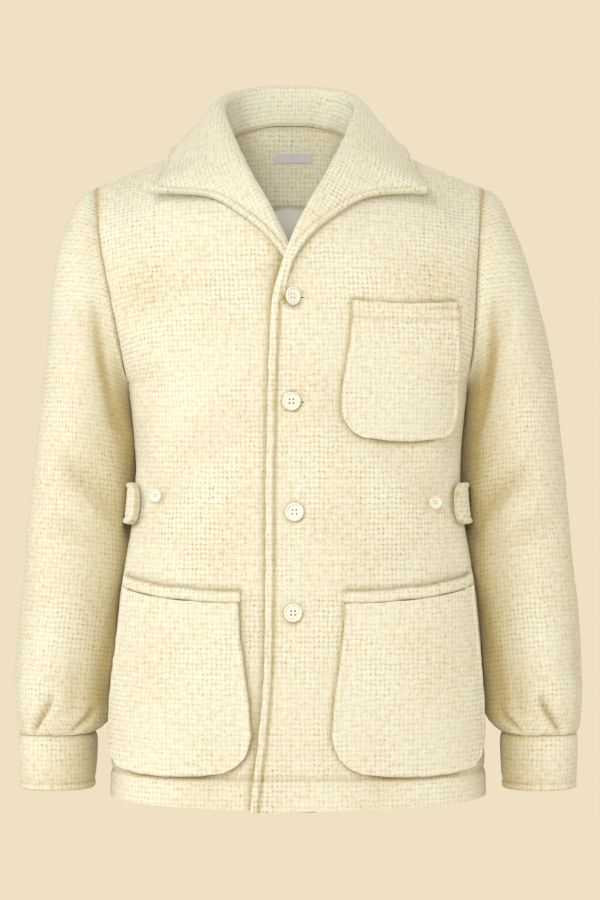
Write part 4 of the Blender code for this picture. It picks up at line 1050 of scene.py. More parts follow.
def neck_facing(finish):
    """The upper middle part of the back's skin, moved in by the back's thickness."""
    rows = np.searchsorted(UPPER_FINE, FACING_FOOT) + 1
    half, facing, flat = (part[:rows, :FACING_COLUMNS] for part in BACK_SKINS[:3])
    run = BACK_SKINS[4][:rows]
    outer = half - (CLOTH + GAP) * facing
    inner = outer - FACING_CLOTH * facing
    # Painted shade on the facing: an even tan, more at its top seam and its lower edge.
    pressed = FACING_SHADE + shade_bell(FACING_TOP, run) + shade_bell(FACING_EDGE, run[-1] - run)
    outer, inner, flat = mirrored(outer), mirrored(inner), mirrored(flat)
    return shell("neck_facing", outer, inner, flat, finish, "back_neck_facing", pressed=pressed)


def lining(finish):
    """The lining's skin is the back's moved in, its pleat a bell that stands in from it, and its
    ease slow lumps drawn out downwards."""
    first = np.searchsorted(UPPER_FINE, LINING_TOP)
    last = len(UPPER_FINE) + np.searchsorted(-LOWER_FINE, -LINING_FOOT_Z)
    half, facing, flat = (part[first:last:2, :LINING_COLUMNS] for part in BACK_SKINS[:3])
    outer = mirrored(half - (CLOTH + LINING_GAP) * facing)
    facing, flat = mirrored(facing), mirrored(flat)
    outer[0] += LINING_DROP * (outer[1] - outer[0])
    faded = np.clip(1.3 - (flat[..., 1] - ARMPIT[2]) / -300, 0.2, 1)
    fold = PLEAT_DEPTH * bell(flat[..., 0] - PLEAT_X, PLEAT_WIDTH) * faded
    ease = LINING_EASE * (1 + lumps(flat * [1, 0.25], 28.0, seed=21))
    inner = outer - (LINING_CLOTH + fold + ease)[..., None] * facing
    outer = outer - (fold + 0.5 * ease)[..., None] * facing * 0.6
    return shell("lining", outer, inner, flat, finish, "lining_back")


def label(finish):
    """A small woven strip, found on the facing by x and height, with its ends turned under."""
    half, facing = BACK_SKINS[:2]
    depth = CLOTH + GAP + FACING_CLOTH + LABEL_STAND
    x, z = np.linspace(*LABEL_X, 41), np.linspace(*LABEL_Z, 13)
    outer = np.zeros((len(z), len(x), 3))
    for k, at in enumerate(x):
        y, height, out, up = (
            np.array([np.interp(abs(at), row[:, 0], values) for row, values in zip(half, table)])
            for table in (half[..., 1], half[..., 2], facing[..., 1], facing[..., 2])
        )
        y, out, up = (np.interp(-z, -height, values) for values in (y, out, up))
        outer[:, k] = np.stack([at + 0 * z, y - depth * out, z - depth * up], axis=-1)
    flat = np.stack(np.meshgrid(x, z), axis=-1)
    edge = np.minimum(flat[..., 0] - LABEL_X[0], LABEL_X[1] - flat[..., 0])
    raised = 0.25 * bell(edge - 1.0, 1.0) + 0.12 * lumps(flat, FELT_SPACING, seed=5)
    inner = outer - np.array([0, 1, 0]) * (LABEL_CLOTH + raised)[..., None]
    return shell("label", outer, inner, flat, finish, "neck_label")


# The facing's tweed is painted lighter than the rest, to make up for the light that the inside of the
# neck lacks.
piece = neck_facing(tweed("facing_tweed", tone=1.12))
piece = lining(satin("lining_satin", (0.95, 0.945, 0.90), 0.42, 0.45))
piece = label(satin("label_satin", (0.72, 0.68, 0.73), 0.38, 0.6))

# ---------------------------------------------------------------- Collar
# A one-piece tweed collar and lapel: it stands at the neck, rolls over softly and falls on the
# shoulders and fronts, with its edge turned in and rounded. The left end laps over the right.

COLLAR_CLOTH, COLLAR_CLEAR, EDGE_CLEAR = 4.4, 2.4, 1.0
THIN_STATION, THIN_STATIONS = 7, 4
FALL_BULGE, BULGE_FULL, FALL_PLACES = 1.0, 60.0, (0.3, 0.6, 0.86)
LAP_MERGE, LAP_REACH, LAP_REACH_RUN = 44.0, 7.0, 30.0
LAP_PROUD, LAP_DIP, LAP_DIP_RUN, LAP_DITCH, LAP_INSET, LAP_BEHIND = 0.3, 0.7, 8.0, 2.2, 1.0, 0.8
COLLAR_TOP, COLLAR_RIM_LOW, COLLAR_DITCH = 1.5, -1.6, 1.2
FALL_EDGE, FALL_STITCH, FALL_FROM, FALL_EASE = 7.6, 7.8, 20.0, 14.0
# These three are painted shade on the collar: bells of tan at the stand's foot seam, along its rim and
# along its stitch line.
COLLAR_SEAM, COLLAR_RIM, COLLAR_STITCH = (0.7, 2.5), (0.4, 1.4), (0.3, 1.6)
ROLL_ROW = 4
COLLAR_AT = np.array([0, 0.7, 1.4, 2.1, 2.8, 3.4, 4, 4.5, 5, 5.5, 6, 6.25, 6.5, 6.75, 7, 8, 9, 10, 11])


def stand_off(points, skin, skin_normals, clear, weight=1.0, reach=1e6):
    """Points moved out along the nearest skin normal until each is clear of that skin, for the
    points that have some of the skin within reach."""
    skin = skin.reshape(-1, 3)
    skin_normals = skin_normals.reshape(-1, 3)
    flat = points.reshape(-1, 3)
    apart = ((flat[:, None, :] - skin[None, :, :]) ** 2).sum(axis=-1)
    near = apart.argmin(axis=1)
    height = ((flat - skin[near]) * skin_normals[near]).sum(axis=-1)
    fade = step((reach - np.sqrt(apart.min(axis=1))) / (0.45 * reach))
    push = np.maximum(clear - height.reshape(points.shape[:-1]), 0.0) * weight
    push = push * fade.reshape(push.shape)
    return points + push[..., None] * skin_normals[near].reshape(points.shape)


def refine(grid, partner, spacing, wrap=False):
    """Two matching grids made fine together: cubic curves through their points, first down the
    columns and then along the rows, at even steps of the first grid's mean distances."""
    rows_run = lengths(grid.swapaxes(0, 1)).mean(axis=0)
    at_rows = np.linspace(0, rows_run[-1], max(2, round(rows_run[-1] / spacing)))
    grids = [grid, partner]
    if wrap:
        grids = [np.concatenate([part[:, -3:], part, part[:, :4]], axis=1) for part in grids]
    run = lengths(grids[0]).mean(axis=0)
    first, last = (run[3], run[-4]) if wrap else (0.0, run[-1])
    at_columns = np.linspace(first, last, max(3, round((last - first) / spacing)))
    made = []
    for part in grids:
        down = smooth(rows_run, part.reshape(len(part), -1), at_rows).reshape(len(at_rows), -1, 3)
        across = smooth(run, down.swapaxes(0, 1).reshape(len(run), -1), at_columns)
        fine = across.reshape(len(at_columns), len(at_rows), 3).swapaxes(0, 1)
        made.append(fine[:, :-1] if wrap else fine)
    return made[0], made[1], at_rows, at_columns - first


def collar_cloth(stations):
    """The collar's thickness, which thins towards the lapels' ends."""
    thin = step((np.asarray(stations) - THIN_STATION) / THIN_STATIONS)
    return COLLAR_CLOTH + (LAPEL_END_CLOTH - COLLAR_CLOTH) * thin


def collar_half(over, skin, skin_facing):
    """Half of the collar's skins: up the stand, over the roll as a round, and down the fall, which
    bulges as a parabola and rests just clear of the panels under it."""
    stations = COLLAR_AT[COLLAR_AT <= NECK_ENDS[over][0]]
    lines = collar_lines(stations, TUCK[over])
    roll, fall, out, radius = (lines[k] for k in ("roll", "fall", "out", "radius"))
    centre = roll + radius * fall
    cloth = collar_cloth(stations)
    clear = cloth + COLLAR_CLEAR
    edge = stand_off(lines["edge"][None], skin, skin_facing, clear + EDGE_CLEAR)[0]
    outside = centre + radius * out
    leg = edge - outside
    long = np.clip(np.linalg.norm(leg, axis=1, keepdims=True) / BULGE_FULL, 0, 1)
    bulge = FALL_BULGE * long * out
    diagonal = math.sqrt(0.5)
    rows = [
        lines["foot"],
        (lines["foot"] + centre - radius * out) / 2,
        centre - radius * out,
        centre - radius * diagonal * (out + fall),
        roll,
        centre + radius * diagonal * (out - fall),
        outside,
    ]
    falls = [outside + leg * s + bulge * 4 * s * (1 - s) for s in FALL_PLACES]
    falls = stand_off(np.stack(falls + [edge]), skin, skin_facing, clear[None])
    grid = np.concatenate([np.stack(rows), falls])
    facing = normals(grid)
    facing = facing * np.sign(dot(facing[ROLL_ROW : ROLL_ROW + 1], -fall[None]))
    facing[0] = -lines["seam"]
    facing[:, 0, 0] = 0
    return grid, grid - cloth[None, :, None] * facing


COLLAR_CREASES = [
    # along the collar, down it, to the same, half-width, depth
    (-250, -60, -215, -120, 14, 0.8),
    (230, -55, 262, -110, 14, 0.9),
    (-90, -70, -60, -120, 18, 0.8),
    (80, -75, 60, -125, 18, 0.8),
]


def merged_lapel(outer, inner, across, to_end):
    """The skins of the collar with the end of the lapel eased into the ridge of the front edge: the
    same rolled edge at the same places, a little proud of it, that dips under it at the very end."""
    weight = (1 - step(to_end / LAP_MERGE))[None, :, None]
    z = outer[..., 2] - LAP_REACH * (1 - step(to_end / LAP_REACH_RUN))
    x, y = (column(FRONT_EDGE, 0, value)(z) for value in (1, 3))
    proud = LAP_PROUD - LAP_DIP * (1 - step(to_end / LAP_DIP_RUN))
    ridge = rolled_edge(across, EDGE_WIDTH, EDGE_TOP, EDGE_RIM, LAP_DITCH)
    front = np.stack([x + np.abs(across), y - proud - ridge, z], axis=-1)
    inset = x + LAP_INSET + np.abs(across)
    behind = np.stack([inset, y + LAP_BEHIND + 0 * across, z], axis=-1)
    return outer + (front - outer) * weight, inner + (behind - inner) * weight


def whole_skin(over):
    """The points and the normals of a front's skin and half of the back's, for clearances."""
    parts = (PANELS[over].grid[:, ::2], BACK_BODY), (PANELS[over].normals[:, ::2], normals(BACK_BODY))
    return [np.concatenate([part.reshape(-1, 3) for part in pair]) for pair in parts]


def collar(finish):
    """Both halves joined and made fine, with a stitched ridge along the edge, creases and lumps."""
    (under, under_in), (lap, lap_in) = (collar_half(over, *whole_skin(over)) for over in (False, True))
    outer, inner = joined(under, lap), joined(under_in, lap_in)
    roll_run = lengths(outer.swapaxes(0, 1)).mean(axis=0)[ROLL_ROW]
    outer, inner, at_rows, along = refine(outer, inner, 3.0)
    down = lengths(outer.swapaxes(0, 1)).T
    flat = np.stack([along - along[-1] / 2 + 0 * down, -down], axis=-1)
    facing = unit(outer - inner)
    to_end = along[-1] - along
    to_edge = down[-1:] - down
    rim = np.minimum(to_edge, np.minimum(along, to_end)[None])
    long_fall = step((down[-1:] - FALL_FROM) / FALL_EASE)
    ridge = rolled_edge(to_edge, FALL_EDGE, COLLAR_TOP, COLLAR_RIM_LOW, COLLAR_DITCH) * long_fall
    sunk = (creases(flat, COLLAR_CREASES) + 0.45 * lumps(flat, 26.0, seed=31)) * step(rim / 20)
    relief = ridge - sunk + FELT * lumps(flat, FELT_SPACING, seed=32)
    outer = outer + relief[..., None] * facing
    across = down - down[np.searchsorted(at_rows, roll_run)]
    outer, inner = merged_lapel(outer, inner, across, to_end)
    # Painted shade at the foot seam, the rim and the stitch line.
    pressed = shade_bell(COLLAR_SEAM, down) + shade_bell(COLLAR_RIM, to_edge)
    pressed = pressed + shade_bell(COLLAR_STITCH, to_edge - FALL_STITCH) * long_fall
    return shell("collar", outer, inner, flat, finish, pressed=pressed)


BACK_BODY = back_grid(
    np.linspace(0, 4, 17), np.linspace(0.06, 1, 16), np.linspace(0, 1, 30), np.linspace(-275, HEM_Z, 25)
)
piece = collar(tweed("collar_tweed", across=4.6, down=4.9))

# ---------------------------------------------------------------- Patch pockets and their bands
# Three patch pockets of the tweed, their edges turned in and sewn down in a soft roll: two lower
# ones with a thick band along the mouth that gapes a little, and one on the left chest.

POCKET_STAND, CHEST_TURN = 1.4, 17.0
POCKET_EDGE, BAND_CROWN, BAND_LOW, BAND_FLAT = 7.4, 3.0, 0.6, 0.016
POCKET_FELT, PUFF = 0.35, 1.6
# The first and last of these are painted shade along the rims of the pockets and the bands.
POCKET_RIM, TURN_LINE, BAND_RIM = (0.5, 1.3), 1.6, (0.6, 1.5)
CHEST_FOLDS = [
    # cloth u, v to u, v, half-width, depth
    (136, -184.5, 190, -181.5, 2.6, 1.5),
    (128, -176, 188, -175, 3.0, -1.0),
    (140, -190.5, 192, -188.5, 2.4, -1.2),
]
LAID_ON = {1: [], -1: []}


def gathered_ends(count, share):
    """Places from 0 to 1, drawn together towards both ends as a cosine is."""
    even = np.linspace(0, 1, count)
    return (1 - share) * even + share * (0.5 - 0.5 * np.cos(math.pi * even))


def laid_piece(node, side, spot, lift, cloth, relief, flat, finish, pressed, every):
    """A shell laid on a front at its points and normals there: lifted off it, with the cloth's
    thickness and its relief outside. Some of its points are kept for the sleeves to clear."""
    points, facing = spot
    outer = points + (lift + cloth + relief)[..., None] * facing
    inner = points + lift[..., None] * facing
    LAID_ON[side].append((outer[::every, ::every], facing[::every, ::every]))
    return shell(node, outer, inner, flat, finish, side=side, pressed=pressed)


def pocket(panel, shape, finish):
    """A patch laid on a front: a rolled edge with a stitched ditch inside it, a mouth that stands
    off the cloth, and on the chest a turned mouth whose outer end is folded double."""
    down = gathered_ends(74, 0.55)[:, None]
    across = gathered_ends(78, 0.6)[None, :]
    q, z, edge = pocket_place(shape, down, across)
    flat = np.stack([q + 0 * z, z], axis=-1)
    waver = 0.5 * lumps(flat, 7.0, seed=45)
    roll = 1.0 + rolled_edge(edge, POCKET_EDGE, 1.0, -2.6, 0.35)
    # Painted shade along the rim, and on the chest pocket in its turn line and its folds.
    pressed = shade_bell(POCKET_RIM, edge)
    if shape.name == "chest_pocket":
        turned = down * (mouth_height(shape, across) - shape.foot)
        line = bell(turned - CHEST_TURN - 1.2 * lumps(flat, 11.0, seed=44), TURN_LINE)
        folds = creases(flat, CHEST_FOLDS)
        roll = roll - 1.0 * line + 0.7 * step((CHEST_TURN - turned) / 4) - folds
        pressed = pressed + 0.28 * line + 0.25 * np.maximum(folds, 0)
    middle = 4 * across * (1 - across)
    lift = POCKET_STAND + shape.gape * middle * step(1 - down * 2.2)
    puff = PUFF * middle * np.sin(math.pi * np.clip(down, 0, 1))
    puff = puff - 0.5 * lumps(flat, 30.0, seed=41) * step(edge / 15)
    relief = roll + puff + POCKET_FELT * lumps(flat, FELT_SPACING, seed=42)
    spot = panel.at(q + waver, z + waver)
    flat = flat + [1.7, 2.3]
    return laid_piece(shape.name, shape.side, spot, lift, CLOTH, relief, flat, finish, pressed, 6)


def band(panel, shape, finish):
    """The band along a lower pocket's mouth, its section a flattened round: one less the cube of
    the distance from its middle."""
    across = gathered_ends(66, 0.3)[None, :]
    down = gathered_ends(15, 0.7)[:, None]
    q = shape.inner_top - 1 + (shape.outer_top - shape.inner_top + 1) * across + 0 * down
    z = mouth_height(shape, across) + GAP + shape.band * (1 - down)
    flat = np.stack([q, z], axis=-1)
    lift = POCKET_STAND + shape.gape * 4 * across * (1 - across) + 0 * down
    off = np.abs(2 * down - 1)
    crown = BAND_CROWN * (1 - off**3) * (1 - 0.5 * step((across - 0.7) / 0.3)) - BAND_LOW
    crown = crown + 0.4 * lumps(flat, 7.0, seed=43) * (1 - off)
    # Painted shade along both long edges of the band.
    pressed = shade_bell(BAND_RIM, shape.band * down) + shade_bell(BAND_RIM, shape.band * (1 - down))
    spot = panel.at(q, z + 0.6 * lumps(flat * [1, 0], 9.0, seed=46))
    node = shape.name.replace("lower_pocket", "pocket_band")
    flat = flat + [3.1, 0.9]
    return laid_piece(node, shape.side, spot, lift, CLOTH, crown, flat, finish, pressed, 5)


pocket_finish = tweed("pocket_tweed", across=4.8, down=5.1)
for shape in POCKETS:
    panel = PANELS[shape.side > 0]
    piece = pocket(panel, shape, pocket_finish)
    if shape.band:
        piece = band(panel, shape, pocket_finish)

# ---------------------------------------------------------------- Side tabs
# A short double strap of tweed at each side seam, sewn in at its root and stitched round its
# edge. Its rounded end is loose and lies forward on the front, beside the button that holds it.

# The last of these is painted shade at the tab's root.
TAB_CLOTH, TAB_ROUND, TAB_EDGE, TAB_SEAM = 5.0, 2.6, 6.6, (0.6, 5.0)
TAB_Z, TAB_LENGTH, TAB_HALF_HEIGHT, TAB_END = -384.0, 53.0, 22.0, 17.0
TAB_LIFT = [
    # distance from the seam, lift off the cloth
    (0, 1.2),
    (10, 2.4),
    (26, 3.6),
    (40, 4.0),
    (53, 3.4),
]


def tab(panel, name, side, finish):
    """A strap from the side seam forward over the front, its outline a superellipse at the end."""
    columns = 1 - (1 - np.linspace(0, 1, 40)) ** 1.5
    rows = 1 - 2 * gathered_ends(34, 0.6)
    along = TAB_LENGTH * columns[None, :]
    share = np.clip((along - TAB_LENGTH + TAB_END) / TAB_END, 0, 1)
    half = TAB_HALF_HEIGHT * (1 - 0.985 * share**TAB_ROUND) ** (1 / TAB_ROUND)
    z = TAB_Z + half * rows[:, None]
    q = panel.side(TAB_Z) - 1.0 - along + 0 * z
    flat = np.stack([q, z], axis=-1)
    lifts = np.array(TAB_LIFT, float)
    lift = smooth(lifts[:, 0], lifts[:, 1], along) + 0 * z
    edge = np.minimum(half - np.abs(z - TAB_Z), 1.2 * (TAB_LENGTH - along))
    crown = 0.6 + rolled_edge(edge, TAB_EDGE, 1.1, -2.4, 0.8)
    crown = crown + POCKET_FELT * lumps(flat, FELT_SPACING, seed=51)
    # Painted shade along the tab's rim and at its root by the seam.
    pressed = shade_bell(POCKET_RIM, edge) + shade_bell(TAB_SEAM, along)
    spot = panel.at(q, z)
    return laid_piece(name, side, spot, lift, TAB_CLOTH, crown, flat, finish, pressed, 4)


for side, word in ((1, "left"), (-1, "right")):
    piece = tab(PANELS[side > 0], f"side_tab_{word}", side, cream)

# ---------------------------------------------------------------- Sleeves and cuffs
# Full sleeves of the tweed, set into the armholes and eased into plain double cuffs with a few
# unequal pleats. Each hangs beside the body with soft folds at the armhole, elbow and cuff.

SLEEVE = [
    # outer x, z, inner x, z, top y, bottom y, front depth, back depth
    (204.0, -52, 178.5, -258, 0, -6, 50, 58),
    (219.0, -62, 177.5, -261, 0, -4, 56, 63),
    (232.0, -85, 175.5, -267, 1, -1, 61, 67),
    (244.5, -117, 174.0, -277, 3, 3, 64.5, 69),
    (252.5, -150, 172.0, -290, 6, 7, 66, 69.5),
    (259.0, -184, 169.0, -307, 10, 13, 66, 69),
    (266.0, -225, 166.0, -328, 15, 18, 65.5, 67.5),
    (273.0, -272, 163.0, -356, 19, 22, 64.5, 66),
    (278.5, -325, 161.0, -390, 21, 25, 63, 64.5),
    (284.0, -375, 162.0, -425, 21, 25, 61.5, 63),
    (289.0, -430, 166.0, -465, 19, 21, 60, 61.5),
    (293.0, -485, 174.0, -508, 14, 15, 59, 60),
    (297.0, -540, 184.0, -552, 6, 6, 58, 59),
    (298.6, -585, 192.5, -590, 1, 1, 56.5, 58),
    (297.0, -608, 198.5, -611, -2, -2, 52.5, 54),
    (292.5, -624.5, 214.5, -624.5, -4, -4, 45.5, 46.5),
]
SLEEVE_CLEAR, ADDED_CLEAR, ADDED_REACH, HEAD_TUCK = 0.4, 0.6, 24.0, 1.8
SLEEVE_COLUMNS, RING_STEP, FOLD_GIRTH = 20, 35.0, 380.0
# These two are painted shade beside the head's seam and the cuff.
HEAD_SEAM, CUFF_SEAM = (0.85, 3.4), (0.4, 2.6)
SLEEVE_RINGS = np.array(
    [0, 0.5, 1, 2, 3, 4, 5, 6, 7, 7.4, 7.8, 8.3, 8.7, 9.2, 10, 11, 12, 13, 13.7, 14.4, 15]
)
SLEEVE_FOLDS = [
    # ring from, angle from, ring to, angle to, half-width mm, depth mm
    (13.0, 1.38, 14.9, 0.98, 4.8, 7.4),
    (13.4, 2.30, 14.9, 2.05, 6.0, 4.5),
    (13.2, 4.90, 14.9, 4.70, 7.0, 5.5),
    (13.5, 5.80, 14.9, 5.60, 6.0, 4.0),
    (2.4, 1.60, 6.2, 2.15, 12.0, 5.0),
    (2.8, 4.60, 6.6, 4.10, 13.0, 5.0),
    (8.0, 1.20, 8.8, 2.20, 11.0, 2.6),
    (9.6, 4.20, 8.6, 5.20, 11.0, 2.4),
]
CUFF = [
    # z, outer x, inner x, front depth, back depth, extra thickness outside
    (-625.0, 292.5, 214.5, 45.5, 46.5, 0.0),
    (-627.0, 292.5, 214.5, 45.5, 46.5, 1.0),
    (-630.0, 292.5, 214.5, 45.5, 46.5, 1.9),
    (-640.0, 292.3, 214.7, 45.5, 46.5, 2.3),
    (-654.0, 292.0, 215.0, 45.5, 46.5, 1.9),
    (-668.0, 291.5, 215.5, 45.2, 46.2, 1.7),
    (-674.0, 291.2, 215.7, 45.0, 46.0, 0.7),
    (-677.5, 291.2, 215.7, 45.0, 46.0, 1.8),
    (-680.5, 291.2, 215.7, 45.0, 46.0, 1.5),
    (-682.0, 291.2, 215.7, 45.0, 46.0, 0.0),
]
CUFF_Y, CUFF_TOP, CUFF_FOOT, CUFF_STITCH, CUFF_POWER = -4.0, -625.0, -682.0, -674.0, 2.25
# These two are painted shade at the cuff's join and its hem stitches.
CUFF_JOIN, CUFF_HEM = (0.5, 2.2), (0.3, 1.5)


def oval(around, outer, inner, front_depth, back_depth, power):
    """A closed ring through an outer and an inner point, with its own depth front and back: the
    cosine and the sine of a superellipse, scaled to them."""
    c, s = (np.sign(part) * np.abs(part) ** (2 / power) for part in (np.cos(around), np.sin(around)))
    ring = (outer + inner) / 2 + (outer - inner) / 2 * c[:, None]
    ring[:, 1] += np.where(s > 0, -front_depth, back_depth) * np.abs(s)
    return ring


def fold_depth(ring, around):
    """How far the soft folds push the sleeve in: troughs in rings and turns made millimetres."""
    scale = np.array([RING_STEP, FOLD_GIRTH / (2 * math.pi)])
    depth = np.zeros(np.broadcast(ring, around).shape)
    for ring_a, angle_a, ring_b, angle_b, width, deep in SLEEVE_FOLDS:
        line = np.array([ring_b - ring_a, angle_b - angle_a]) * scale
        to = np.stack(np.broadcast_arrays(ring - ring_a, around - angle_a), axis=-1) * scale
        depth += trough(to, line, width, deep, fade_from=0.12, fade_run=0.88, power=0.5)
    return depth


def sleeve_skins(body, added, recess):
    """The sleeve's skins on a coarse grid whose columns start at the underarm: ovals fanning from
    the armhole down to the cuff, their inner side set back, pushed clear of the body and of what
    lies on it."""
    around = np.linspace(0, 2 * math.pi, SLEEVE_COLUMNS, endpoint=False)
    rows = smooth(np.arange(len(SLEEVE)), np.array(SLEEVE, float), SLEEVE_RINGS)
    rings = []
    for ring, (ox, oz, ix, iz, top, low, ahead, behind) in zip(SLEEVE_RINGS, rows):
        power = 2.0 + 0.25 * min(ring / 4.0, 1.0)
        outer, inner = np.array([ox + GAP, top, oz]), np.array([ix + GAP, low, iz])
        rings.append(oval(around, outer, inner, ahead, behind, power))
    grid = np.stack(rings)
    inner_side = step(-np.cos(around) * 1.4 + 0.15)[None, :] * step(SLEEVE_RINGS / 0.9)[:, None]
    set_back = step(SLEEVE_RINGS / 5.0) * step((14.0 - SLEEVE_RINGS) / 3.0)
    grid[..., 1] += recess * set_back[:, None] * step(0.35 - 0.8 * np.cos(around))[None, :]
    grid = stand_off(grid, *body, SLEEVE_CLEAR, inner_side)
    for skin in added:
        grid = stand_off(grid, *skin, ADDED_CLEAR, inner_side, ADDED_REACH)
    grid[0, :, 0] -= HEAD_TUCK
    facing = normals(grid, wrap=True)
    inward = grid[0].mean(axis=0) - grid[0]
    along = unit(np.array(SHOULDER_TIP) - np.array(ARMPIT))
    facing[0] = -unit(inward * [0, 1, 0] + dot(inward, along) * along)
    facing[-1] = unit(facing[-1] * [1, 1, 0])
    half = -SLEEVE_COLUMNS // 2
    return np.roll(grid, half, axis=1), np.roll(grid - CLOTH * facing, half, axis=1)


def closed(grid):
    """A tube's grid with its first column again at its end."""
    return np.concatenate([grid, grid[:, :1]], axis=1)


def round_tube(grid):
    """Distances round each closed row of a tube, from half-way round."""
    run = lengths(closed(grid))
    return run - run[:, -1:] / 2


SLEEVE_CREASES = [
    # cloth u (0 outermost, - front), v above the cuff, to the same, half-width, depth
    (-60, 470, -95, 380, 15, 2.2),
    (-110, 430, -150, 350, 13, 2.0),
    (-20, 300, -120, 245, 17, 2.0),
    (-60, 250, -150, 275, 14, 1.7),
    (70, 290, 150, 240, 17, 1.8),
    (40, 230, 130, 200, 15, 1.5),
    (85, 470, 120, 390, 15, 1.8),
    (-35, 130, -42, 12, 9, 2.0),
    (-75, 90, -68, 8, 8, 1.8),
    (25, 110, 30, 10, 9, 1.6),
    (105, 85, 98, 8, 8, 1.6),
    (0, 160, -14, 60, 15, -1.6),
    (-95, 70, -95, 5, 8, -1.4),
    (60, 90, 64, 5, 8, -1.4),
]


def sleeve(name, side, finish, body, added, seed, recess, shade):
    """The coarse skins made fine, with folds, creases and lumps pushed in, the head's seam sunk
    and rounded, and gathers above the cuff: sines round it that fade upwards. Shade is painted on
    the side that faces the body, beside the head's seam and the cuff, and in the folds."""
    coarse, coarse_in = sleeve_skins(body, added, recess)
    outer, inner, at_rows, around = refine(coarse, coarse_in, 3.4, wrap=True)
    coarse_run = lengths(coarse.swapaxes(0, 1)).mean(axis=0)
    ring = np.interp(at_rows, coarse_run, SLEEVE_RINGS)[:, None]
    angle = (math.pi + 2 * math.pi * around[:-1] / around[-1])[None, :] % (2 * math.pi)
    facing = unit(outer - inner)
    u = round_tube(outer)
    down = lengths(closed(outer).swapaxes(0, 1)).T
    flat = np.stack([u, down[-1] - down], axis=-1)
    spot, fallen, u = flat[:, :-1], down[:, :-1], u[:, :-1]
    to_cuff = spot[..., 1]
    start = step(ring / 0.5)
    folds = fold_depth(ring, angle) * start
    own = creases(spot, SLEEVE_CREASES) + 0.9 * lumps(spot, 36.0, seed=seed)
    own = own * step(fallen / 18) * step(to_cuff / 8)
    seam = 1.1 * bell(fallen, 2.6) - 1.0 * bell(fallen - 9.0, 6.0) * start
    gather = 0.7 * np.sin(u / 5.2 + 2.0 * lumps(spot, 40.0, seed=seed + 1)) * step(1 - to_cuff / 22)
    relief = FELT * lumps(spot, FELT_SPACING, seed=seed + 2) + gather * step(to_cuff / 3) - seam
    skin = outer + (relief - folds - own)[..., None] * facing
    inner = inner - (folds + own)[..., None] * facing
    # Painted shade on the side that faces the body, where it is shadowed, beside the head's seam and
    # the cuff, and in the deeper folds.
    inside = 0.65 * step((0.35 - np.cos(angle)) / 1.1) + 0.5 * step((-np.cos(angle) - 0.35) / 0.5)
    pressed = shade * inside * step((ring - 1.0) / 4) * step((15.5 - ring) / 3)
    pressed = pressed + shade_bell(HEAD_SEAM, fallen) + shade_bell(CUFF_SEAM, to_cuff)
    pressed = pressed + 0.13 * np.maximum(folds + own - 0.6, 0)
    return shell(name, skin, inner, flat, finish, side=side, wrap=True, pressed=pressed)


def cuff(name, side, finish, shade):
    """A plain band: the tabled section swept round an oval, its foot stitched in a shallow ditch."""
    around = np.linspace(math.pi, 3 * math.pi, 132)[:-1]
    table = np.array(CUFF, float)
    spans = (
        np.linspace(CUFF_TOP, -630, 7)[:-1],
        np.linspace(-630, -668, 11),
        np.linspace(-669.5, CUFF_FOOT, 12),
    )
    heights = np.concatenate(spans)
    rings = []
    for z, outer_x, inner_x, ahead, behind, _ in smooth(-table[:, 0], table, -heights):
        outer, inner = np.array([outer_x, CUFF_Y, z]), np.array([inner_x, CUFF_Y, z])
        rings.append(oval(around, outer, inner, ahead, behind, CUFF_POWER))
    grid = np.stack(rings)
    facing = unit(normals(grid, wrap=True) * [1, 1, 0])
    u = round_tube(grid)
    flat = np.stack([u, heights[:, None] - CUFF_FOOT + 0 * u], axis=-1)
    raised = np.interp(-heights, -table[:, 0], table[:, 5])[:, None]
    waver = 0.35 * lumps(flat[:, :-1], 9.0, seed=71) + 0.5 * lumps(flat[:, :-1], 34.0, seed=72)
    skin = grid + (raised + waver * step(raised / 0.6))[..., None] * facing
    inner = grid - CLOTH * facing
    # Painted shade at the join and the hem's stitches, and on the side that faces the body.
    pressed = shade_bell(CUFF_JOIN, heights - CUFF_TOP) + shade_bell(CUFF_HEM, heights - CUFF_STITCH)
    pressed = pressed[:, None] + 0.6 * shade * step((0.3 - np.cos(around)) / 1.3)[None, :]
    flat = flat + [0.4, 1.1]
    return shell(name, skin, inner, flat, finish, side=side, wrap=True, pressed=pressed)


BODY_SKIN = whole_skin(True)
sleeve_finish = tweed("sleeve_tweed", across=4.7, down=5.1)
SLEEVE_SIDES = [
    # side, name, seed, set-back, painted shade inside
    (1, "left", 61, 20.0, 1.3),
    (-1, "right", 66, 12.0, 0.95),
]
for side, word, seed, recess, shade in SLEEVE_SIDES:
    piece = sleeve(f"sleeve_{word}", side, sleeve_finish, BODY_SKIN, LAID_ON[side], seed, recess, shade)
    piece = cuff(f"cuff_{word}", side, sleeve_finish, shade)

# ---------------------------------------------------------------- Buttons and buttonholes
# Turned resin buttons with a raised pearly rim, a dished face and four holes: four big ones down
# the front and a small one at each tab. Each is sewn on through its holes. The front's worked
# buttonholes are bound with thread round a dark slit, and each shows a little past its button.

BUTTON = dict(diameter=19.0, thickness=3.4, rim=1.5, holes=2.0, hole_spread=2.75)
TAB_BUTTON = dict(diameter=13.8, thickness=2.8, rim=1.3, holes=1.3, hole_spread=1.7)
BUTTON_SIDES, HOLE_SIDES, BUTTON_SHARP = 72, 20, 35
TAB_BUTTON_STAND, TAB_BUTTON_TURN = 3.0, -0.8
TOP_LEAN, TOP_LIFT = 0.22, 1.0
SHANK_WIDE, SHANK_LOW, SHANK_HIGH, SHANK_SIDES = 0.75, -0.9, 0.3, 28
HOLE_STAND, HOLE_REACH, LANE, STITCH, STITCH_APART, STITCH_DROP = 0.5, 1.5, 0.3, 0.42, 0.7, 0.3
SLIT, SLIT_PROUD = 0.8, 0.05
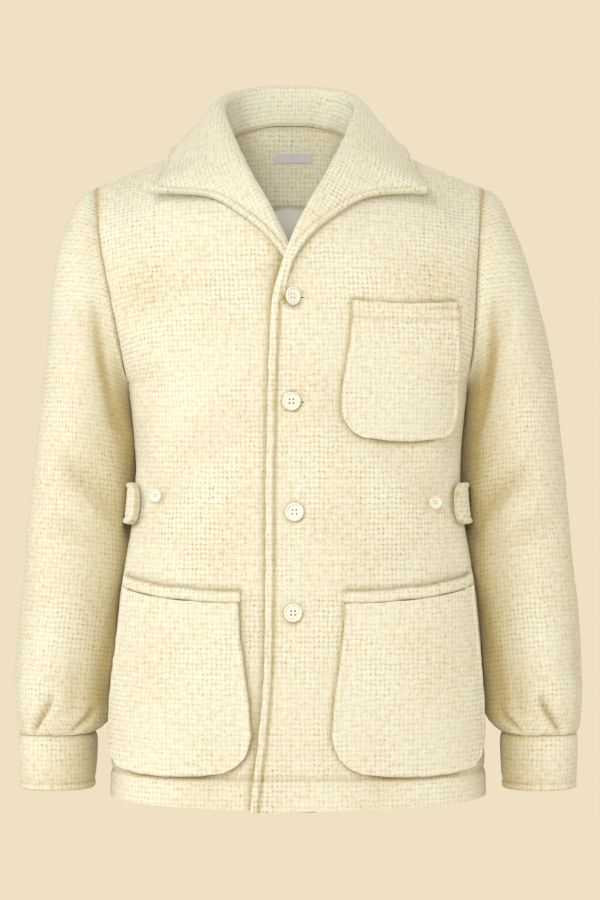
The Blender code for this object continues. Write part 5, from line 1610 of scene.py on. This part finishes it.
# The second colour, on the boss behind each button, is its thread and also painted shade in the holes.
SEWING, THREAD_AND_HOLE_SHADE, DARK = (0.82, 0.79, 0.67, 1), (0.20, 0.13, 0.05, 1), (0.10, 0.065, 0.025, 1)
TAB_BUTTONS = [
    # name, side, x, z
    ("tab_button_left", 1, 141.5, -382.0),
    ("tab_button_right", -1, 141.5, -375.0),
]
BUTTONHOLES = [
    # x from, x to, z of each front buttonhole
    (-4.0, 10.5, -173.6),
    (-3.0, 10.8, -279.6),
    (-1.0, 11.0, -391.4),
    (-2.0, 10.4, -493.4),
]


def resin():
    """Pearly resin: pale cream, glossy, with faint cloudy noise in its tone."""
    finish = Finish("button_resin")
    place = finish.node("ShaderNodeTexCoord", {}, {}).output(3)
    cloud = finish.node("ShaderNodeTexNoise", {}, {"Vector": place, "Scale": 260.0, "Detail": 2.0})
    stops = [(0.3, (0.82, 0.80, 0.70)), (0.7, (0.90, 0.885, 0.81))]
    tone = finish.node("ShaderNodeValToRGB", {"stops": stops}, {0: cloud})
    return finish.look(Base_Color=tone, Roughness=0.28, Coat_Weight=0.4, Coat_Roughness=0.15)


def turned(profile, sides):
    """Points and faces of a lathe: the profile's inner points swept round, its ends on the axis."""
    around = np.linspace(0, 2 * math.pi, sides, endpoint=False)
    body = np.array(profile[1:-1])
    across, up = body[:, :1], body[:, 1:]
    ring = np.stack([across * np.cos(around), across * np.sin(around), up + 0 * around], axis=-1)
    points = np.concatenate([ring.reshape(-1, 3), [[0, 0, profile[0][1]], [0, 0, profile[-1][1]]]])
    index = closed(np.arange(len(body) * sides).reshape(len(body), sides))
    quads = np.stack([index[:-1, :-1], index[1:, :-1], index[1:, 1:], index[:-1, 1:]], axis=-1)
    first, last = len(body) * sides, len(body) * sides + 1
    faces = quads.reshape(-1, 4).tolist()
    faces += [(first, int(a), int(b)) for a, b in zip(index[0, :-1], index[0, 1:])]
    faces += [(last, int(b), int(a)) for a, b in zip(index[-1, :-1], index[-1, 1:])]
    return points, faces


def placed(points, place, facing, turn):
    """Points of a piece that lies flat, stood on its place with its top facing out."""
    pose = Vector(facing).to_track_quat("Z", "Y").to_matrix()
    swing = Matrix.Rotation(math.radians(turn), 3, "Z")
    return points @ np.array(swing @ pose).T + place


def solid(name, points, faces, finish):
    """An object made of the points and faces, in millimetres, shaded smooth."""
    mesh = bpy.data.meshes.new(name)
    mesh.from_pydata((np.asarray(points) * MM).tolist(), [], faces)
    mesh.materials.append(finish)
    mesh.shade_smooth()
    mesh.set_sharp_from_angle(angle=math.radians(BUTTON_SHARP))
    made = bpy.data.objects.new(name, mesh)
    bpy.context.scene.collection.objects.link(made)
    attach(made, "root")
    return made


def drilled(made, drill):
    """Cuts the drill's rods out of a piece, which keeps the result as its own mesh."""
    cut = made.modifiers.new("holes", "BOOLEAN")
    cut.object = drill
    bpy.context.view_layer.update()
    graph = bpy.context.evaluated_depsgraph_get()
    mesh = bpy.data.meshes.new_from_object(made.evaluated_get(graph))
    made.modifiers.clear()
    made.data = mesh
    mesh.set_sharp_from_angle(angle=math.radians(BUTTON_SHARP))
    bpy.data.objects.remove(drill, do_unlink=True)


def button(node, size, place, facing, turn, finish, shank_finish):
    """A button: the lathe of its rounded section, less four holes, with a low round boss behind
    it, which fills its holes from below: its thread, and painted shade inside the holes."""
    radius, thick, rim = size["diameter"] / 2, size["thickness"], size["rim"]
    knots = np.array(
        [
            (0.0, 0.62 * thick),
            (radius - 3.0 * rim, 0.62 * thick),
            (radius - 2.1 * rim, 0.56 * thick),
            (radius - 1.6 * rim, 0.76 * thick),
            (radius - 0.9 * rim, thick),
            (radius - 0.3 * rim, 0.9 * thick),
            (radius, 0.6 * thick),
            (radius - 0.35 * rim, 0.22 * thick),
            (radius - 1.1 * rim, 0.0),
            (0.0, 0.0),
        ]
    )
    run = lengths(knots)
    outline = smooth(run, knots, np.linspace(0, run[-1], 44))
    points, faces = turned(outline.tolist(), BUTTON_SIDES)
    reach, wide = size["hole_spread"], size["holes"] / 2
    rod = [(0, 2 * thick), (wide, 2 * thick), (wide, -thick), (0, -thick)]
    holes, hole_faces = [], []
    for k in range(4):
        angle = math.pi * (k + 0.5) / 2
        ring, ring_faces = turned(rod, HOLE_SIDES)
        hole_faces += [tuple(corner + len(ring) * k for corner in face) for face in ring_faces]
        holes.append(ring + [reach * math.cos(angle), reach * math.sin(angle), 0])
    made = solid(node + "_turned", placed(points, place, facing, turn), faces, finish)
    holes = placed(np.concatenate(holes), place, facing, turn)
    drilled(made, solid(node + "_drill", holes, hole_faces, finish))
    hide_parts(node)
    wide = size["hole_spread"] + SHANK_WIDE * size["holes"]
    low, high = SHANK_LOW, SHANK_HIGH * thick
    points, faces = turned([(0, high), (wide, high), (wide, low), (0, low)], SHANK_SIDES)
    solid(node + "_shank", placed(points, place, facing, turn), faces, shank_finish)


def place_on(panel, side, x, z, off):
    """A point standing off a front at a given x and height, and the front's direction there. The
    cloth distance is found by rounds, each of which adds what x is off."""
    q = np.array([x])
    for _ in range(12):
        point, facing = panel.at(q, np.array([z]))
        q = q + (x - point[:, 0])
    return hang((point + off * facing) * [side, 1, 1])[0], facing[0] * [side, 1, 1]


def thread(name, colour):
    """Matt sewing thread."""
    return Finish(name).look(Base_Color=colour, Roughness=0.8, Sheen_Weight=0.2)


def capsules(starts, ends, sides, radius):
    """Rounded short rods, one for each pair of points: five rings of the given sides, the outer
    ones small, swept along each pair's line with its ends closed."""
    starts, ends = np.atleast_2d(starts), np.atleast_2d(ends)
    along = unit(ends - starts)
    across = unit(np.cross(along, [0.31, 0.82, 0.48]))
    up = np.cross(along, across)
    shares = np.array([0.0, 0.16, 0.5, 0.84, 1.0])
    widths = radius * np.array([0.35, 0.95, 1.0, 0.95, 0.35])
    angle = np.linspace(0, 2 * math.pi, sides, endpoint=False)
    ring = across[:, None] * np.cos(angle)[:, None] + up[:, None] * np.sin(angle)[:, None]
    middle = starts[:, None] + (ends - starts)[:, None] * shares[:, None]
    points = middle[:, :, None] + ring[:, None] * widths[:, None, None]
    index = np.arange(len(starts) * 5 * sides).reshape(len(starts), 5, sides)
    turn = np.roll(index, -1, axis=2)
    quads = np.stack([index[:, :-1], turn[:, :-1], turn[:, 1:], index[:, 1:]], axis=-1).reshape(-1, 4)
    return points.reshape(-1, 3), quads.tolist() + index[:, 0, ::-1].tolist() + index[:, -1].tolist()


pearl = resin()
sewing, thread_and_hole_shade = thread("sewing_thread", SEWING), thread("shank_thread", THREAD_AND_HOLE_SHADE)
for number, (x, z, turn, off) in enumerate(FRONT_BUTTONS, start=1):
    lean, lift = (TOP_LEAN, TOP_LIFT) if number == 1 else (0.0, 0.0)
    place, facing = place_on(PANELS[True], 1, x - lean_at(z), z, off + lift)
    facing = unit(facing + np.array([lean, 0, 0]))
    button(f"front_button_{number}", BUTTON, place, facing, turn, pearl, thread_and_hole_shade)
for name, side, x, z in TAB_BUTTONS:
    place, facing = place_on(PANELS[side > 0], side, x, z, TAB_BUTTON_STAND)
    facing = unit(facing + np.array([0, TAB_BUTTON_TURN, 0]))
    button(name, TAB_BUTTON, place, facing, 0.0, pearl, thread_and_hole_shade)


def buttonhole(name, panel, x_from, x_to, z, finish, dark):
    """A worked buttonhole: short stitches set close round a dark slit, as spokes of a long oval."""
    near, far = np.arange(x_from, x_to, STITCH_APART), np.arange(x_to, x_from, -STITCH_APART)
    lane = np.concatenate([near, far])
    edge = np.where(np.arange(len(lane)) < len(lane) // 2, 1.0, -1.0)
    rows = [panel.at(lane, z + reach * edge) for reach in (LANE, HOLE_REACH)]
    tips = np.linspace(-math.pi / 2, math.pi / 2, 7)
    for end, way in ((x_to, 1), (x_from, -1)):
        for k, reach in enumerate((LANE, HOLE_REACH)):
            tip = panel.at(end + way * reach * np.cos(tips), z + reach * np.sin(tips))
            rows[k] = [np.concatenate(pair) for pair in zip(rows[k], tip)]
    (starts, out), (ends, _) = rows
    starts, ends = hang(starts + HOLE_STAND * out), hang(ends + (HOLE_STAND - STITCH_DROP) * out)
    solid(name, *capsules(starts, ends, 6, STITCH), finish)
    points, facing = panel.at(np.array([x_from, x_to]), np.array([z, z]))
    points = hang(points + (HOLE_STAND + SLIT_PROUD) * facing)
    solid(name + "_slit", *capsules(points[:1], points[1:], 12, SLIT), dark)


dark = Finish("slit_shadow").look(Base_Color=DARK, Roughness=1.0, Specular_IOR_Level=0.0)
for number, (x_from, x_to, z) in enumerate(BUTTONHOLES, start=1):
    ends = x_from - lean_at(z), x_to - lean_at(z)
    buttonhole(f"buttonhole_{number}", PANELS[True], *ends, z, sewing, dark)
